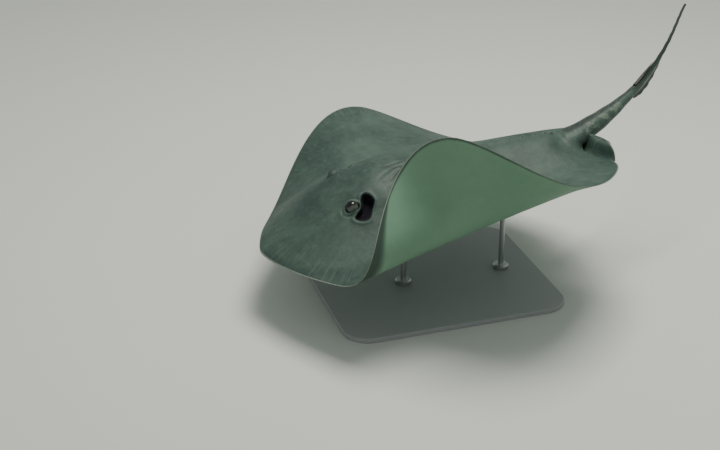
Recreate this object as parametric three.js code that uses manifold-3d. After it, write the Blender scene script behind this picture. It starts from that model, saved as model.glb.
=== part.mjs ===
// A life-size southern stingray, swimming with its left fin rolled up, on a plain display stand.
// Millimetres, +Z up. The snout points to -Y and the animal's left is +X. The origin is on the
// floor, under the widest line of the disc.
//
// The body is first described flat: x across, y along, z through its thickness. place() then
// rolls up the left fin, waves the right fin, banks, arches the back, tips the snout down and lifts
// the whole animal onto its stand.

import * as THREE from 'three';
import Module from 'manifold-3d';
import { mergeVertices } from 'three/addons/utils/BufferGeometryUtils.js';

const wasm = await Module();
wasm.setup();

// ---- Driving dimensions ---------------------------------------------------------------

const GAP = 0.3;                    // between neighbouring pieces

// Disc outline: two half superellipses that meet at the widest line, y = 0.
const DISC_HALF_WIDTH = 500;
const SNOUT_LENGTH = 435.8;
const SNOUT_POWER = 1.45;
const REAR_LENGTH = 470;
const REAR_POWER = 1.6;
const NOTCH_DEPTH = 80;             // the rear edge is drawn in where the tail leaves
const NOTCH_WIDTH = 115;
const NOTCH_START = 270;
const NOTCH_RUN = 200;

// Thickness of the body over and under its middle surface.
const HUMP_HEIGHT = 72;
const HUMP_CENTRE = -120;
const HUMP_FRONT = 200;
const HUMP_REAR = 550;
const HUMP_WIDTH = 135;
const HUMP_REAR_WIDTH = 50;
const HUMP_TAPER_FROM = -100;
const HUMP_TAPER_RUN = 600;
const BACK_BLADE = 26;
const BELLY_BLADE = 10;
const BELLY_DEPTH = 18;
const BELLY_WIDTH = 170;
const EDGE_HALF = 1.8;              // half thickness just inside the fin's edge
const BROW_HEIGHT = 11;             // swelling that carries the eye
const BROW = { x: 62, y: -205, rx: 24, ry: 34 };
const HUMP_POWER = 2.3;             // how square-shouldered the hump is across
const BELLY_POWER = 2.5;

// Left fin: rolled up and over, most at ROLL_CENTRE.
const ROLL_START_FRONT = 249.6;
const ROLL_START_REAR = 50;
const ROLL_ANGLE = 2.136;           // radians
const ROLL_WIDTH = 162;
const ROLL_CENTRE = -150.8;
const ROLL_SPREAD = 225.3;

// Right fin: a wave that lifts its middle and lets its rear droop.
const WAVE_START = 60;
const WAVE_RISE = 1.205;            // radians
const WAVE_DROOP = 0.8;             // radians
const WAVE_CENTRE = -129;
const WAVE_SPREAD = 296.5;
const WAVE_WIDTH = 100;
const WAVE_EASE = 533;

// Bank of head and trunk: the animal's right side is carried higher than its left.
const BANK = { rise: 17, level: 125.8, width: 155, nose: -390, head: -250, waist: -10, rear: 180 };

// Arch of the back, pitch of the body and height over the floor.
const ARCH_CENTRE = 30;
const ARCH_SQUARE = 1.01e-5;
const ARCH_CUBE = -1.68e-8;
const PITCH = THREE.MathUtils.degToRad(11.84);
const BODY_HEIGHT = 240;

// Where the body is parted into its pieces.
const CORE_HALF_WIDTH = 125;        // head and trunk, inside the fins
const WAIST = { share: 0.68, from: -20, run: 400 };
const MUZZLE = { share: 0.35, from: -150, run: 280 };
const NECK_Y = -120;
const TRUNK_END_Y = 410;

// Eyes and spiracles, by their flat place on the head.
const EYE = { x: 74, y: -213, radius: 16, sink: 9 };
const SPIRACLE = { x: 86, y: -176, across: 22, along: 12, deep: 18, sink: 4 };

// Tail: a centreline of given length that swings to the right and rises.
const TAIL_LENGTH = 812;
const TAIL_ROOT = { y: 330, z: 17, start: 0.03 };
const TAIL_YAW = [1.972, -0.925, -0.143];        // radians over the length, by power
const TAIL_RISE = [0.37, -0.11, -0.332];
const TAIL_TIP = 6.0;
const TAIL_SWELL = 43.5;
const TAIL_TAPER = 0.27;
const TAIL_ROOT_WIDTH = 1.35;       // width for its height, falling to 1 by TAIL_ROUND_FROM
const TAIL_ROUND_FROM = 0.4;
const TAIL_BASE_END = 0.33;         // fractions of the tail's length
const TAIL_MIDDLE_END = 0.66;
const FOLD = { from: 0.325, to: 0.56, depth: 26, peak: 0.36, half: 1.5, hem: 0.6, least: 2 };
const KEEL = { from: 0.34, to: 0.72, height: 4.5, rise: 0.08, fall: 0.16 };
const STING = { from: 0.345, length: 104, width: 8, height: 4.4, teeth: 9, barb: 1.25, lift: 5 };

// Pelvic fins: leaf-shaped lobes that leave from under the rear edge and turn up behind it.
const PELVIC = { rootX: 89, tipX: 96.5, rootY: 328, tipY: 435, half: 64, thick: 7, edge: 1.4 };
const PELVIC_CLEARANCE = 1.8;       // under the belly
const PELVIC_RISE_LEFT = { inner: 33, outer: 22 };
const PELVIC_RISE_RIGHT = { inner: 12, outer: 8 };
const PELVIC_RISE_RUN = 26;

// Thorns along the middle of the back and tail.
const THORN = { radius: 4.5, tip: 0.7, height: 6, foot: 3, lean: 5, pitch: 38 };
const BACK_THORNS = { first: -70, last: 375 };
const TAIL_THORNS = { first: 0.06, last: 0.29, count: 6 };

// Display stand.
const BASE = { width: 460, length: 560, thick: 12, corner: 60, bevel: 2 };
const ROD = { radius: 7, front: -70, rear: 190, sides: 16 };
const COLLAR = { radius: 20, height: 12, bevel: 3 };

// ---- Small functions --------------------------------------------------------------------

const clamp01 = (t) => Math.min(Math.max(t, 0), 1);

const smooth = (t) => {
  const c = clamp01(t);
  return c * c * (3 - 2 * c);
};

const bell = (t, power = 2) => Math.exp(-(Math.abs(t) ** power));

const lerp = (a, b, t) => a + (b - a) * t;

// ---- The flat body ------------------------------------------------------------------------

// Half width of the disc at y.
function halfWidth(y) {
  const [length, power] = y < 0 ? [SNOUT_LENGTH, SNOUT_POWER] : [REAR_LENGTH, REAR_POWER];
  const q = clamp01(Math.abs(y) / length);
  return DISC_HALF_WIDTH * Math.max(1 - q ** power, 0) ** (1 / power);
}

// Half width of the head and trunk between the fins.
function coreHalfWidth(y) {
  const waist = 1 - WAIST.share * smooth((y - WAIST.from) / WAIST.run);
  const muzzle = 1 - MUZZLE.share * smooth((MUZZLE.from - y) / MUZZLE.run);
  return CORE_HALF_WIDTH * waist * muzzle;
}

// How far out (s) and how far along (q) a point lies, both 0 to 1, and the fin's thin blade.
function sectionAt(x, y) {
  const s = clamp01(Math.abs(x) / Math.max(halfWidth(y), 1e-3));
  const q = clamp01(Math.abs(y) / (y < 0 ? SNOUT_LENGTH : REAR_LENGTH));
  const blade = (1 - s * s) ** 1.5 * (1 - q ** 4);
  const edge = EDGE_HALF * Math.sqrt((1 - 0.92 * s ** 8) * (1 - 0.8 * q ** 16));
  return { s, q, blade, edge };
}

// How far the rear edge is drawn in towards the head at a flat place.
function notchShift(x, y) {
  return NOTCH_DEPTH * bell(x / NOTCH_WIDTH, 3) * smooth((y - NOTCH_START) / NOTCH_RUN);
}

// Height of the back over the middle surface. The hump stays high up to the tail's root.
function back(x, y) {
  const { s, blade, edge } = sectionAt(x, y);
  const fromPeak = y - notchShift(x, y) - HUMP_CENTRE;
  const along = bell(fromPeak / (fromPeak < 0 ? HUMP_FRONT : HUMP_REAR));
  const width = lerp(HUMP_WIDTH, HUMP_REAR_WIDTH, smooth((y - HUMP_TAPER_FROM) / HUMP_TAPER_RUN));
  const hump = HUMP_HEIGHT * bell(x / width, HUMP_POWER) * along * (1 - s ** 4);
  const brow = BROW_HEIGHT * bell((Math.abs(x) - BROW.x) / BROW.rx) * bell((y - BROW.y) / BROW.ry);
  return hump + BACK_BLADE * blade + edge + brow;
}

// Height of the belly, below the middle surface.
function belly(x, y) {
  const { s, q, blade, edge } = sectionAt(x, y);
  const depth = BELLY_DEPTH * bell(x / BELLY_WIDTH, BELLY_POWER) * (1 - q ** 4) * (1 - s ** 4);
  return -(depth + BELLY_BLADE * blade + edge);
}

// ---- The pose -------------------------------------------------------------------------------

// Slope of the rolled left fin, a distance d outside the line where the roll starts.
function rollSlope(d, y) {
  const share = 1 / (1 + ((y - ROLL_CENTRE) / ROLL_SPREAD) ** 2);
  return ROLL_ANGLE * share * smooth(d / ROLL_WIDTH);
}

// Slope of the waving right fin.
function waveSlope(d, y) {
  const lift = WAVE_RISE * bell((y - WAVE_CENTRE) / WAVE_SPREAD) - WAVE_DROOP;
  return lift * (smooth(d / WAVE_WIDTH) - d / WAVE_EASE);
}

// Height that the bank adds at a flat place. It fades out on the fins, the snout and the rear.
function bank(x, y) {
  const front = smooth((y - BANK.nose) / (BANK.head - BANK.nose));
  const behind = smooth((BANK.rear - y) / (BANK.rear - BANK.waist));
  return BANK.rise * (1 - x / BANK.level) * bell(x / BANK.width, 4) * front * behind;
}

// Carries a point of a cross-section along the bent middle surface of its fin.
function bend(x, y, z, start, slope) {
  const reach = x - start;
  if (reach <= 0) return [x, z];
  const steps = 20;
  let out = start;
  let up = 0;
  for (let k = 0; k < steps; k++) {
    const angle = slope((reach * (k + 0.5)) / steps, y);
    out += (Math.cos(angle) * reach) / steps;
    up += (Math.sin(angle) * reach) / steps;
  }
  const end = slope(reach, y);
  return [out - z * Math.sin(end), up + z * Math.cos(end)];
}

// From the flat body to the posed one. along is the final distance down the body's length.
function pose(x, y, z, along) {
  const rollStart = lerp(ROLL_START_FRONT, ROLL_START_REAR, (y + 400) / 850);
  const [out, up] = x >= 0
    ? bend(x, y, z, rollStart, rollSlope)
    : bend(-x, y, z, WAVE_START, waveSlope);
  const fromArch = along - ARCH_CENTRE;
  const arch = ARCH_SQUARE * fromArch ** 2 + ARCH_CUBE * fromArch ** 3;
  const raised = up + arch + bank(x, y);
  return new THREE.Vector3(
    x >= 0 ? out : -out,
    along * Math.cos(PITCH) - raised * Math.sin(PITCH),
    raised * Math.cos(PITCH) + along * Math.sin(PITCH) + BODY_HEIGHT,
  );
}

const place = (x, y, z) => pose(x, y, z, y - notchShift(x, y));

// Point, normal and tangents of the back at a flat place.
function backFrame(x, y) {
  const step = 1;
  const point = place(x, y, back(x, y));
  const across = place(x + step, y, back(x + step, y)).sub(place(x - step, y, back(x - step, y)));
  const along = place(x, y + step, back(x, y + step)).sub(place(x, y - step, back(x, y - step)));
  across.normalize();
  const normal = across.clone().cross(along).normalize();
  return { point, across, along: normal.clone().cross(across), normal };
}

// ---- Solids from grids and rings --------------------------------------------------------------

function geometryFrom(points, triangles) {
  const geometry = new THREE.BufferGeometry();
  const flat = points.flatMap((p) => [p.x, p.y, p.z]);
  geometry.setAttribute('position', new THREE.Float32BufferAttribute(flat, 3));
  geometry.setIndex(triangles);
  return geometry;
}

// A closed slab: an upper and a lower grid of points and the wall round them. point(i, j, side)
// gives the place of row i (towards the tail) and column j (towards +X), upper or lower.
function slab(rows, columns, point) {
  const points = [];
  for (const upper of [true, false]) {
    for (let i = 0; i < rows; i++) {
      for (let j = 0; j < columns; j++) points.push(point(i, j, upper));
    }
  }
  const top = (i, j) => i * columns + j;
  const low = (i, j) => rows * columns + i * columns + j;
  const triangles = [];
  const quad = (a, b, c, d) => triangles.push(a, b, c, a, c, d);
  const shortQuad = (a, b, c, d) => {
    const straight = points[a].distanceTo(points[c]) <= points[b].distanceTo(points[d]);
    if (straight) quad(a, b, c, d);
    else quad(b, c, d, a);
  };
  for (let i = 0; i < rows - 1; i++) {
    for (let j = 0; j < columns - 1; j++) {
      shortQuad(top(i, j), top(i, j + 1), top(i + 1, j + 1), top(i + 1, j));
      shortQuad(low(i, j), low(i + 1, j), low(i + 1, j + 1), low(i, j + 1));
    }
    quad(low(i + 1, 0), low(i, 0), top(i, 0), top(i + 1, 0));
    const last = columns - 1;
    quad(low(i + 1, last), top(i + 1, last), top(i, last), low(i, last));
  }
  for (let j = 0; j < columns - 1; j++) {
    quad(low(0, j), low(0, j + 1), top(0, j + 1), top(0, j));
    const last = rows - 1;
    quad(low(last, j + 1), low(last, j), top(last, j), top(last, j + 1));
  }
  return geometryFrom(points, triangles);
}

// A closed tube through rings of points, each ring turning right-handed about the tube's run.
function ringSolid(rings) {
  const count = rings[0].length;
  const points = rings.flat();
  const centre = (ring) => ring.reduce((sum, p) => sum.add(p), new THREE.Vector3()).divideScalar(count);
  const first = points.push(centre(rings[0])) - 1;
  const last = points.push(centre(rings.at(-1))) - 1;
  const end = (rings.length - 1) * count;
  const triangles = [];
  for (let k = 0; k < count; k++) {
    const next = (k + 1) % count;
    triangles.push(first, next, k, last, end + k, end + next);
    for (let i = 0; i < rings.length - 1; i++) {
      const a = i * count;
      triangles.push(a + k, a + next, a + count + next, a + k, a + count + next, a + count + k);
    }
  }
  return geometryFrom(points, triangles);
}

function toManifold(geometry) {
  const bare = new THREE.BufferGeometry();
  bare.setAttribute('position', geometry.getAttribute('position').clone());
  if (geometry.index) bare.setIndex(geometry.index.clone());
  const merged = mergeVertices(bare, 1e-4);
  return new wasm.Manifold(new wasm.Mesh({
    numProp: 3,
    vertProperties: new Float32Array(merged.getAttribute('position').array),
    triVerts: new Uint32Array(merged.index.array),
  }));
}

function fromManifold(solid) {
  const mesh = solid.getMesh();
  const geometry = new THREE.BufferGeometry();
  geometry.setAttribute('position', new THREE.Float32BufferAttribute(mesh.vertProperties, 3));
  geometry.setIndex(Array.from(mesh.triVerts));
  return geometry;
}

const joined = (geometry, extras) => fromManifold(
  extras.reduce((solid, extra) => solid.add(toManifold(extra)), toManifold(geometry)),
);

const carved = (geometry, cuts) => fromManifold(
  cuts.reduce((solid, cut) => solid.subtract(toManifold(cut)), toManifold(geometry)),
);

// ---- Disc: head, trunk and pectoral fins --------------------------------------------------------

// The y where the disc is wider than the core by `margin`, found between two values.
function widthCrossing(from, to, margin) {
  let [narrow, wide] = [from, to];
  for (let k = 0; k < 40; k++) {
    const middle = (narrow + wide) / 2;
    if (halfWidth(middle) > coreHalfWidth(middle) + margin) wide = middle;
    else narrow = middle;
  }
  return wide;
}

const FRONT_ROWS = 19;
const REAR_ROWS = 19;
const ROW_CLEARANCE = 5;
const SNOUT_TIP_ANGLE = 0.036;      // the snout's tip is blunt, about 8 mm wide
const FIN_END_WIDTH = 3;
const FIN_FRONT_Y = widthCrossing(-SNOUT_LENGTH, -200, FIN_END_WIDTH);
const FIN_REAR_Y = widthCrossing(REAR_LENGTH, 300, FIN_END_WIDTH);

// Rows of the disc, closer together towards the snout and the rear edge. The two parting
// lines of the core are rows too, so that the walls of neighbouring pieces match.
function discRows() {
  const rows = [NECK_Y, TRUNK_END_Y];
  for (let k = 0; k < FRONT_ROWS; k++) {
    rows.push(-SNOUT_LENGTH * Math.cos(lerp(SNOUT_TIP_ANGLE, Math.PI / 2, k / FRONT_ROWS)));
  }
  for (let k = 0; k < REAR_ROWS; k++) {
    rows.push(REAR_LENGTH * Math.sin((k / REAR_ROWS) * (Math.PI / 2)));
  }
  const clear = (y) => Math.min(Math.abs(y - NECK_Y), Math.abs(y - TRUNK_END_Y));
  return rows.filter((y) => clear(y) === 0 || clear(y) > ROW_CLEARANCE).sort((a, b) => a - b);
}

const ROWS = discRows();

// The rows between two limits, with the limits themselves at the ends.
function rowsBetween(from, to) {
  const inside = ROWS.filter((y) => y > from + ROW_CLEARANCE && y < to - ROW_CLEARANCE);
  return [from, ...inside, to];
}

const surfacePoint = (x, y, upper) => place(x, y, upper ? back(x, y) : belly(x, y));

// A piece of the core: as wide as the core, or as the disc where that is narrower.
function corePiece(from, to, columns) {
  const rows = rowsBetween(from, to);
  return slab(rows.length, columns, (i, j, upper) => {
    const y = rows[i];
    const half = Math.min(coreHalfWidth(y) - GAP / 2, halfWidth(y));
    return surfacePoint(half * lerp(-1, 1, j / (columns - 1)), y, upper);
  });
}

// A pectoral fin, from the core to the disc's edge. side is 1 for the left fin, -1 for the right.
function pectoral(side, columns) {
  const rows = rowsBetween(FIN_FRONT_Y, FIN_REAR_Y);
  return slab(rows.length, columns, (i, j, upper) => {
    const y = rows[i];
    const share = side > 0 ? j / (columns - 1) : 1 - j / (columns - 1);
    const x = lerp(coreHalfWidth(y) + GAP / 2, halfWidth(y), share ** 0.9);
    return surfacePoint(side * x, y, upper);
  });
}

// ---- Eyes and spiracles ---------------------------------------------------------------------------

function orientedEllipsoid(frame, centre, radii) {
  const basis = new THREE.Matrix4().makeBasis(frame.across, frame.along, frame.normal);
  const geometry = new THREE.SphereGeometry(1, 12, 9);
  geometry.scale(...radii);
  geometry.applyMatrix4(basis);
  geometry.translate(centre.x, centre.y, centre.z);
  return geometry;
}

function eyeball(side, grow) {
  const frame = backFrame(side * EYE.x, EYE.y);
  const centre = frame.point.clone().addScaledVector(frame.normal, -EYE.sink);
  const radius = EYE.radius + grow;
  return orientedEllipsoid(frame, centre, [radius, radius, radius]);
}

function spiraclePocket(side) {
  const frame = backFrame(side * SPIRACLE.x, SPIRACLE.y);
  const centre = frame.point.clone().addScaledVector(frame.normal, -SPIRACLE.sink);
  return orientedEllipsoid(frame, centre, [SPIRACLE.across, SPIRACLE.along, SPIRACLE.deep]);
}

function head() {
  const cuts = [1, -1].flatMap((side) => [eyeball(side, GAP), spiraclePocket(side)]);
  return carved(corePiece(-SNOUT_LENGTH * Math.cos(SNOUT_TIP_ANGLE), NECK_Y - GAP / 2, 17), cuts);
}

// ---- Thorns ---------------------------------------------------------------------------------------

// A small cone, leaning back, whose foot is sunk into the skin.
function thorn(point, normal, backward) {
  const side = backward.clone().cross(normal).normalize();
  const sides = 6;
  const ring = (height, radius, shift) => Array.from({ length: sides }, (_, k) => {
    const angle = (k / sides) * 2 * Math.PI;
    return point.clone()
      .addScaledVector(normal, height)
      .addScaledVector(backward, shift + radius * Math.cos(angle))
      .addScaledVector(side, -radius * Math.sin(angle));
  });
  return ringSolid([ring(-THORN.foot, THORN.radius, 0), ring(THORN.height, THORN.tip, THORN.lean)]);
}

function backThorns() {
  const { first, last } = BACK_THORNS;
  const count = Math.round((last - first) / THORN.pitch);
  return Array.from({ length: count + 1 }, (_, k) => {
    const frame = backFrame(0, lerp(first, last, k / count));
    return thorn(frame.point, frame.normal, frame.along);
  });
}

// ---- Tail -----------------------------------------------------------------------------------------

const TAIL_STEPS = 270;

function tailDirection(s) {
  const yaw = TAIL_YAW[0] * s + TAIL_YAW[1] * s ** 2 + TAIL_YAW[2] * s ** 3;
  const rise = TAIL_RISE[0] + TAIL_RISE[1] * s + TAIL_RISE[2] * s ** 2;
  const run = new THREE.Vector3(
    -Math.sin(yaw) * Math.cos(rise),
    Math.cos(yaw) * Math.cos(rise),
    Math.sin(rise),
  );
  const left = new THREE.Vector3(Math.cos(yaw), Math.sin(yaw), 0);
  return { run, left, up: left.clone().cross(run) };
}

// The centreline, added up in short steps from the root to the tip.
function tailCentreline() {
  const points = [pose(0, TAIL_ROOT.y, TAIL_ROOT.z, TAIL_ROOT.y)];
  for (let k = 0; k < TAIL_STEPS; k++) {
    const { run } = tailDirection((k + 0.5) / TAIL_STEPS);
    points.push(points[k].clone().addScaledVector(run, TAIL_LENGTH / TAIL_STEPS));
  }
  return points;
}

const TAIL_POINTS = tailCentreline();

// Frame of the tail at s, the fraction of its length from the root.
function tailAt(s) {
  const k = Math.min(Math.floor(s * TAIL_STEPS), TAIL_STEPS - 1);
  const centre = TAIL_POINTS[k].clone().lerp(TAIL_POINTS[k + 1], s * TAIL_STEPS - k);
  const height = (TAIL_TIP + TAIL_SWELL / (1 + (s / TAIL_TAPER) ** 3)) / 2;
  const width = height * lerp(TAIL_ROOT_WIDTH, 1, smooth(s / TAIL_ROUND_FROM));
  const growing = smooth((s - KEEL.from) / KEEL.rise);
  const keel = KEEL.height * growing * smooth((KEEL.to - s) / KEEL.fall);
  return { centre, height, width, keel, ...tailDirection(s) };
}

// A ring round the tail. Its top point carries the low keel.
function tailRing(s, sides, shrink = 0) {
  const tail = tailAt(s);
  return Array.from({ length: sides }, (_, k) => {
    const angle = (k / sides) * 2 * Math.PI;
    const keel = k === (sides * 3) / 4 ? tail.keel : 0;
    return tail.centre.clone()
      .addScaledVector(tail.left, (tail.width - shrink) * Math.cos(angle))
      .addScaledVector(tail.up, -(tail.height + keel - shrink) * Math.sin(angle));
  });
}

// Moves the points of a ring along the tail onto the curved rear face of the trunk.
function onTrunkFace(ring, run) {
  const axis = new THREE.Vector3(0, Math.cos(PITCH), Math.sin(PITCH));
  const lifted = new THREE.Vector3(0, 0, BODY_HEIGHT);
  for (const point of ring) {
    for (let round = 0; round < 4; round++) {
      const face = TRUNK_END_Y - notchShift(point.x, TRUNK_END_Y) + 2 * GAP;
      const miss = face - point.clone().sub(lifted).dot(axis);
      point.addScaledVector(run, miss / run.dot(axis));
    }
  }
  return ring;
}

function tailLength(from, to, count, sides) {
  const half = GAP / 2 / TAIL_LENGTH;
  const stations = Array.from({ length: count }, (_, k) => lerp(from + half, to - half, k / (count - 1)));
  return stations.map((s) => tailRing(s, sides));
}

function tailBase() {
  const rings = tailLength(TAIL_ROOT.start, TAIL_BASE_END, 9, 12);
  onTrunkFace(rings[0], tailDirection(TAIL_ROOT.start).run);
  const { first, last, count } = TAIL_THORNS;
  const thorns = Array.from({ length: count }, (_, k) => {
    const tail = tailAt(lerp(first, last, k / (count - 1)));
    const top = tail.centre.clone().addScaledVector(tail.up, tail.height);
    return thorn(top, tail.up, tail.run);
  });
  return joined(ringSolid(rings), thorns);
}

const tailMiddle = () => ringSolid(tailLength(TAIL_BASE_END, TAIL_MIDDLE_END, 15, 12));

// The whip tapers to a blunt, rounded end.
function tailWhip() {
  const rings = tailLength(TAIL_MIDDLE_END, 1, 12, 8);
  rings.push(tailRing(1, 8, TAIL_TIP * 0.3));
  return ringSolid(rings);
}

// The thin skin fold that hangs under the middle of the tail.
function tailFold() {
  const count = 16;
  const rings = Array.from({ length: count }, (_, k) => {
    const t = k / (count - 1);
    const tail = tailAt(lerp(FOLD.from, FOLD.to, t));
    const warp = t ** (Math.log(0.5) / Math.log(FOLD.peak));
    const depth = FOLD.least + FOLD.depth * Math.sin(Math.PI * warp);
    const corner = (sideways, down) => tail.centre.clone()
      .addScaledVector(tail.left, sideways)
      .addScaledVector(tail.up, -(tail.height + GAP + down));
    return [
      corner(FOLD.half, 0),
      corner(FOLD.hem, depth),
      corner(-FOLD.hem, depth),
      corner(-FOLD.half, 0),
    ];
  });
  return ringSolid(rings);
}

// The sting: a flat spine with barbs on both edges, lying on the tail and lifted at its tip.
function tailSting() {
  const count = 2 * STING.teeth;
  const rings = [];
  for (let k = 0; k <= count; k++) {
    const t = k / count;
    const tail = tailAt(STING.from + (t * STING.length) / TAIL_LENGTH);
    const taper = (1 - t ** 1.6) * 0.94 + 0.06;
    const barb = k % 2 === 1 ? STING.barb : 1;
    const half = (STING.width / 2) * taper * barb;
    const thick = (STING.height / 2) * taper;
    const rise = tail.height + tail.keel + 2 * GAP + thick + STING.lift * t ** 2;
    const middle = tail.centre.clone().addScaledVector(tail.up, rise);
    rings.push([0, 1, 2, 3].map((c) => middle.clone()
      .addScaledVector(tail.left, half * Math.cos((c * Math.PI) / 2))
      .addScaledVector(tail.up, -thick * Math.sin((c * Math.PI) / 2))));
  }
  return ringSolid(rings);
}

// ---- Pelvic fins ------------------------------------------------------------------------------------

// The flat y whose point, drawn in by the notch, ends up at `along`.
function beforeNotch(x, along) {
  let y = along;
  for (let round = 0; round < 30; round++) y = along + notchShift(x, y);
  return y;
}

// Where the disc's rear edge lies, x out from the middle, as the final distance along the body.
function rearEdge(x) {
  const share = (Math.abs(x) / DISC_HALF_WIDTH) ** REAR_POWER;
  const y = REAR_LENGTH * (1 - share) ** (1 / REAR_POWER);
  return y - notchShift(x, y);
}

function pelvic(side) {
  const [rows, columns] = [11, 8];
  const { inner, outer } = side > 0 ? PELVIC_RISE_LEFT : PELVIC_RISE_RIGHT;
  return slab(rows, columns, (i, j, upper) => {
    const v = i / (rows - 1);
    const u = lerp(-1, 1, j / (columns - 1));
    const along = lerp(PELVIC.rootY, PELVIC.tipY, Math.sin((v * Math.PI) / 2));
    const half = PELVIC.half * Math.sqrt(1 - 0.97 * v ** 3.5);
    const x = side * lerp(PELVIC.rootX, PELVIC.tipX, v) + u * half;
    const behind = along - rearEdge(x) - PELVIC_CLEARANCE;
    const rise = lerp(inner, outer, (side * u + 1) / 2) * smooth(behind / PELVIC_RISE_RUN);
    const top = belly(x, beforeNotch(x, along)) - PELVIC_CLEARANCE + rise;
    const thick = PELVIC.edge + PELVIC.thick * (1 - u * u) * (1 - v * v);
    return pose(x, along, upper ? top : top - thick, along);
  });
}

// ---- Stand ------------------------------------------------------------------------------------------

function standBase() {
  const [w, l, r] = [BASE.width / 2 - BASE.bevel, BASE.length / 2 - BASE.bevel, BASE.corner];
  const shape = new THREE.Shape();
  shape.moveTo(-w + r, -l);
  shape.absarc(w - r, -l + r, r, -Math.PI / 2, 0);
  shape.absarc(w - r, l - r, r, 0, Math.PI / 2);
  shape.absarc(-w + r, l - r, r, Math.PI / 2, Math.PI);
  shape.absarc(-w + r, -l + r, r, Math.PI, (3 * Math.PI) / 2);
  const geometry = new THREE.ExtrudeGeometry(shape, {
    depth: BASE.thick - 2 * BASE.bevel,
    bevelThickness: BASE.bevel,
    bevelSize: BASE.bevel,
    bevelSegments: 1,
    curveSegments: 5,
  });
  geometry.translate(0, 0, BASE.bevel);
  return geometry;
}

// Height of the belly over a point of the floor.
function bellyOver(x, y) {
  let flatY = y;
  for (let round = 0; round < 12; round++) {
    flatY += y - place(x, flatY, belly(x, flatY)).y;
  }
  return place(x, flatY, belly(x, flatY)).z;
}

// A round rod with a collar at its foot. Its top follows the belly that rests on it.
function standRod(y) {
  const foot = BASE.thick + GAP;
  const ring = (radius, height) => Array.from({ length: ROD.sides }, (_, k) => {
    const angle = (k / ROD.sides) * 2 * Math.PI;
    const x = radius * Math.cos(angle);
    const along = y + radius * Math.sin(angle);
    return new THREE.Vector3(x, along, height ?? bellyOver(x, along) - GAP);
  });
  return ringSolid([
    ring(COLLAR.radius, foot),
    ring(COLLAR.radius, foot + COLLAR.height - COLLAR.bevel),
    ring(COLLAR.radius - COLLAR.bevel, foot + COLLAR.height),
    ring(ROD.radius, foot + COLLAR.height),
    ring(ROD.radius),
  ]);
}

// ---- Materials and scene graph ------------------------------------------------------------------------

const SKIN = { color: 0x5c6a60, roughness: 0.55, metalness: 0 };
const FIN = { color: 0x66746a, roughness: 0.55, metalness: 0 };
const TAIL = { color: 0x4c5852, roughness: 0.55, metalness: 0 };
const EYEBALL = { color: 0x14171a, roughness: 0.1, metalness: 0 };
const SPINE = { color: 0xa59f88, roughness: 0.45, metalness: 0 };
const STEEL = { color: 0xb9bcc0, roughness: 0.3, metalness: 1 };
const PLATE = { color: 0xd6d7d4, roughness: 0.5, metalness: 0 };

const group = new THREE.Group();
group.name = 'southern_stingray_on_stand';

function add(name, geometry, look) {
  const mesh = new THREE.Mesh(geometry, new THREE.MeshStandardMaterial(look));
  mesh.name = name;
  group.add(mesh);
}

add('head', head(), SKIN);
add('trunk', joined(corePiece(NECK_Y + GAP / 2, TRUNK_END_Y, 11), backThorns()), SKIN);
add('pectoral_left', pectoral(1, 13), FIN);
add('pectoral_right', pectoral(-1, 11), FIN);
add('pelvic_left', pelvic(1), FIN);
add('pelvic_right', pelvic(-1), FIN);
add('eye_left', eyeball(1, 0), EYEBALL);
add('eye_right', eyeball(-1, 0), EYEBALL);
add('tail_base', tailBase(), TAIL);
add('tail_middle', tailMiddle(), TAIL);
add('tail_whip', tailWhip(), TAIL);
add('tail_fold', tailFold(), TAIL);
add('tail_sting', tailSting(), SPINE);
add('stand_base', standBase(), PLATE);
add('stand_rod_front', standRod(ROD.front), STEEL);
add('stand_rod_rear', standRod(ROD.rear), STEEL);

export default group;
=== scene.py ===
"""The looks of a life-size southern stingray on its display stand, set up as a Blender add-on.

Lengths are millimetres inside the shape functions and metres in Blender. The snout points to -Y,
the animal's left is +X, +Z is up, and the origin is on the floor under the widest line.
"""

import bmesh
import bpy
import numpy as np
from mathutils import Matrix, Vector


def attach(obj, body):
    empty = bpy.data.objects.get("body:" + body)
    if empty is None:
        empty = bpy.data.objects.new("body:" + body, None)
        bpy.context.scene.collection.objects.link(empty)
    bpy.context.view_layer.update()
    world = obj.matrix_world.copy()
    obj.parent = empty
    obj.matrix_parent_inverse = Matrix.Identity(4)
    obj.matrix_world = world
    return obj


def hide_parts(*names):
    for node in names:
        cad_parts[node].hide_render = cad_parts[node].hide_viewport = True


bl_info = {
    "name": "Southern stingray on a stand",
    "version": (1, 0, 0),
    "blender": (4, 5, 0),
    "location": "3D Viewport > Sidebar > Stingray",
    "description": "Builds the skin, eyes, sting, stand finish and studio of a stingray model",
    "category": "Object",
}

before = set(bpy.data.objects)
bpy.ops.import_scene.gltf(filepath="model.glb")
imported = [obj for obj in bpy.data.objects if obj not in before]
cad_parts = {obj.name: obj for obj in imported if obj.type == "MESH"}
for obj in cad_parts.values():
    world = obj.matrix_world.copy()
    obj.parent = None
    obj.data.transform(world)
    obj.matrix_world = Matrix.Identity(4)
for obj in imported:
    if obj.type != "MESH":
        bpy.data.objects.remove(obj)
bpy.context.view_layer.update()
BODY = "root"
MM = 0.001
SKIN_COLOURS = ("back", "back_dark", "back_light", "belly", "belly_shade", "margin", "rim", "whip",
                "tail_spot", "cavity_shade")
# Values per point of the skin, which its material reads.
FIELDS = ("back", "rim", "band", "pit", "tail", "thorn", "ray", "reach", "pale")

# ---- Dimensions of the body, in millimetres, as in the part's source --------------------------

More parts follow.
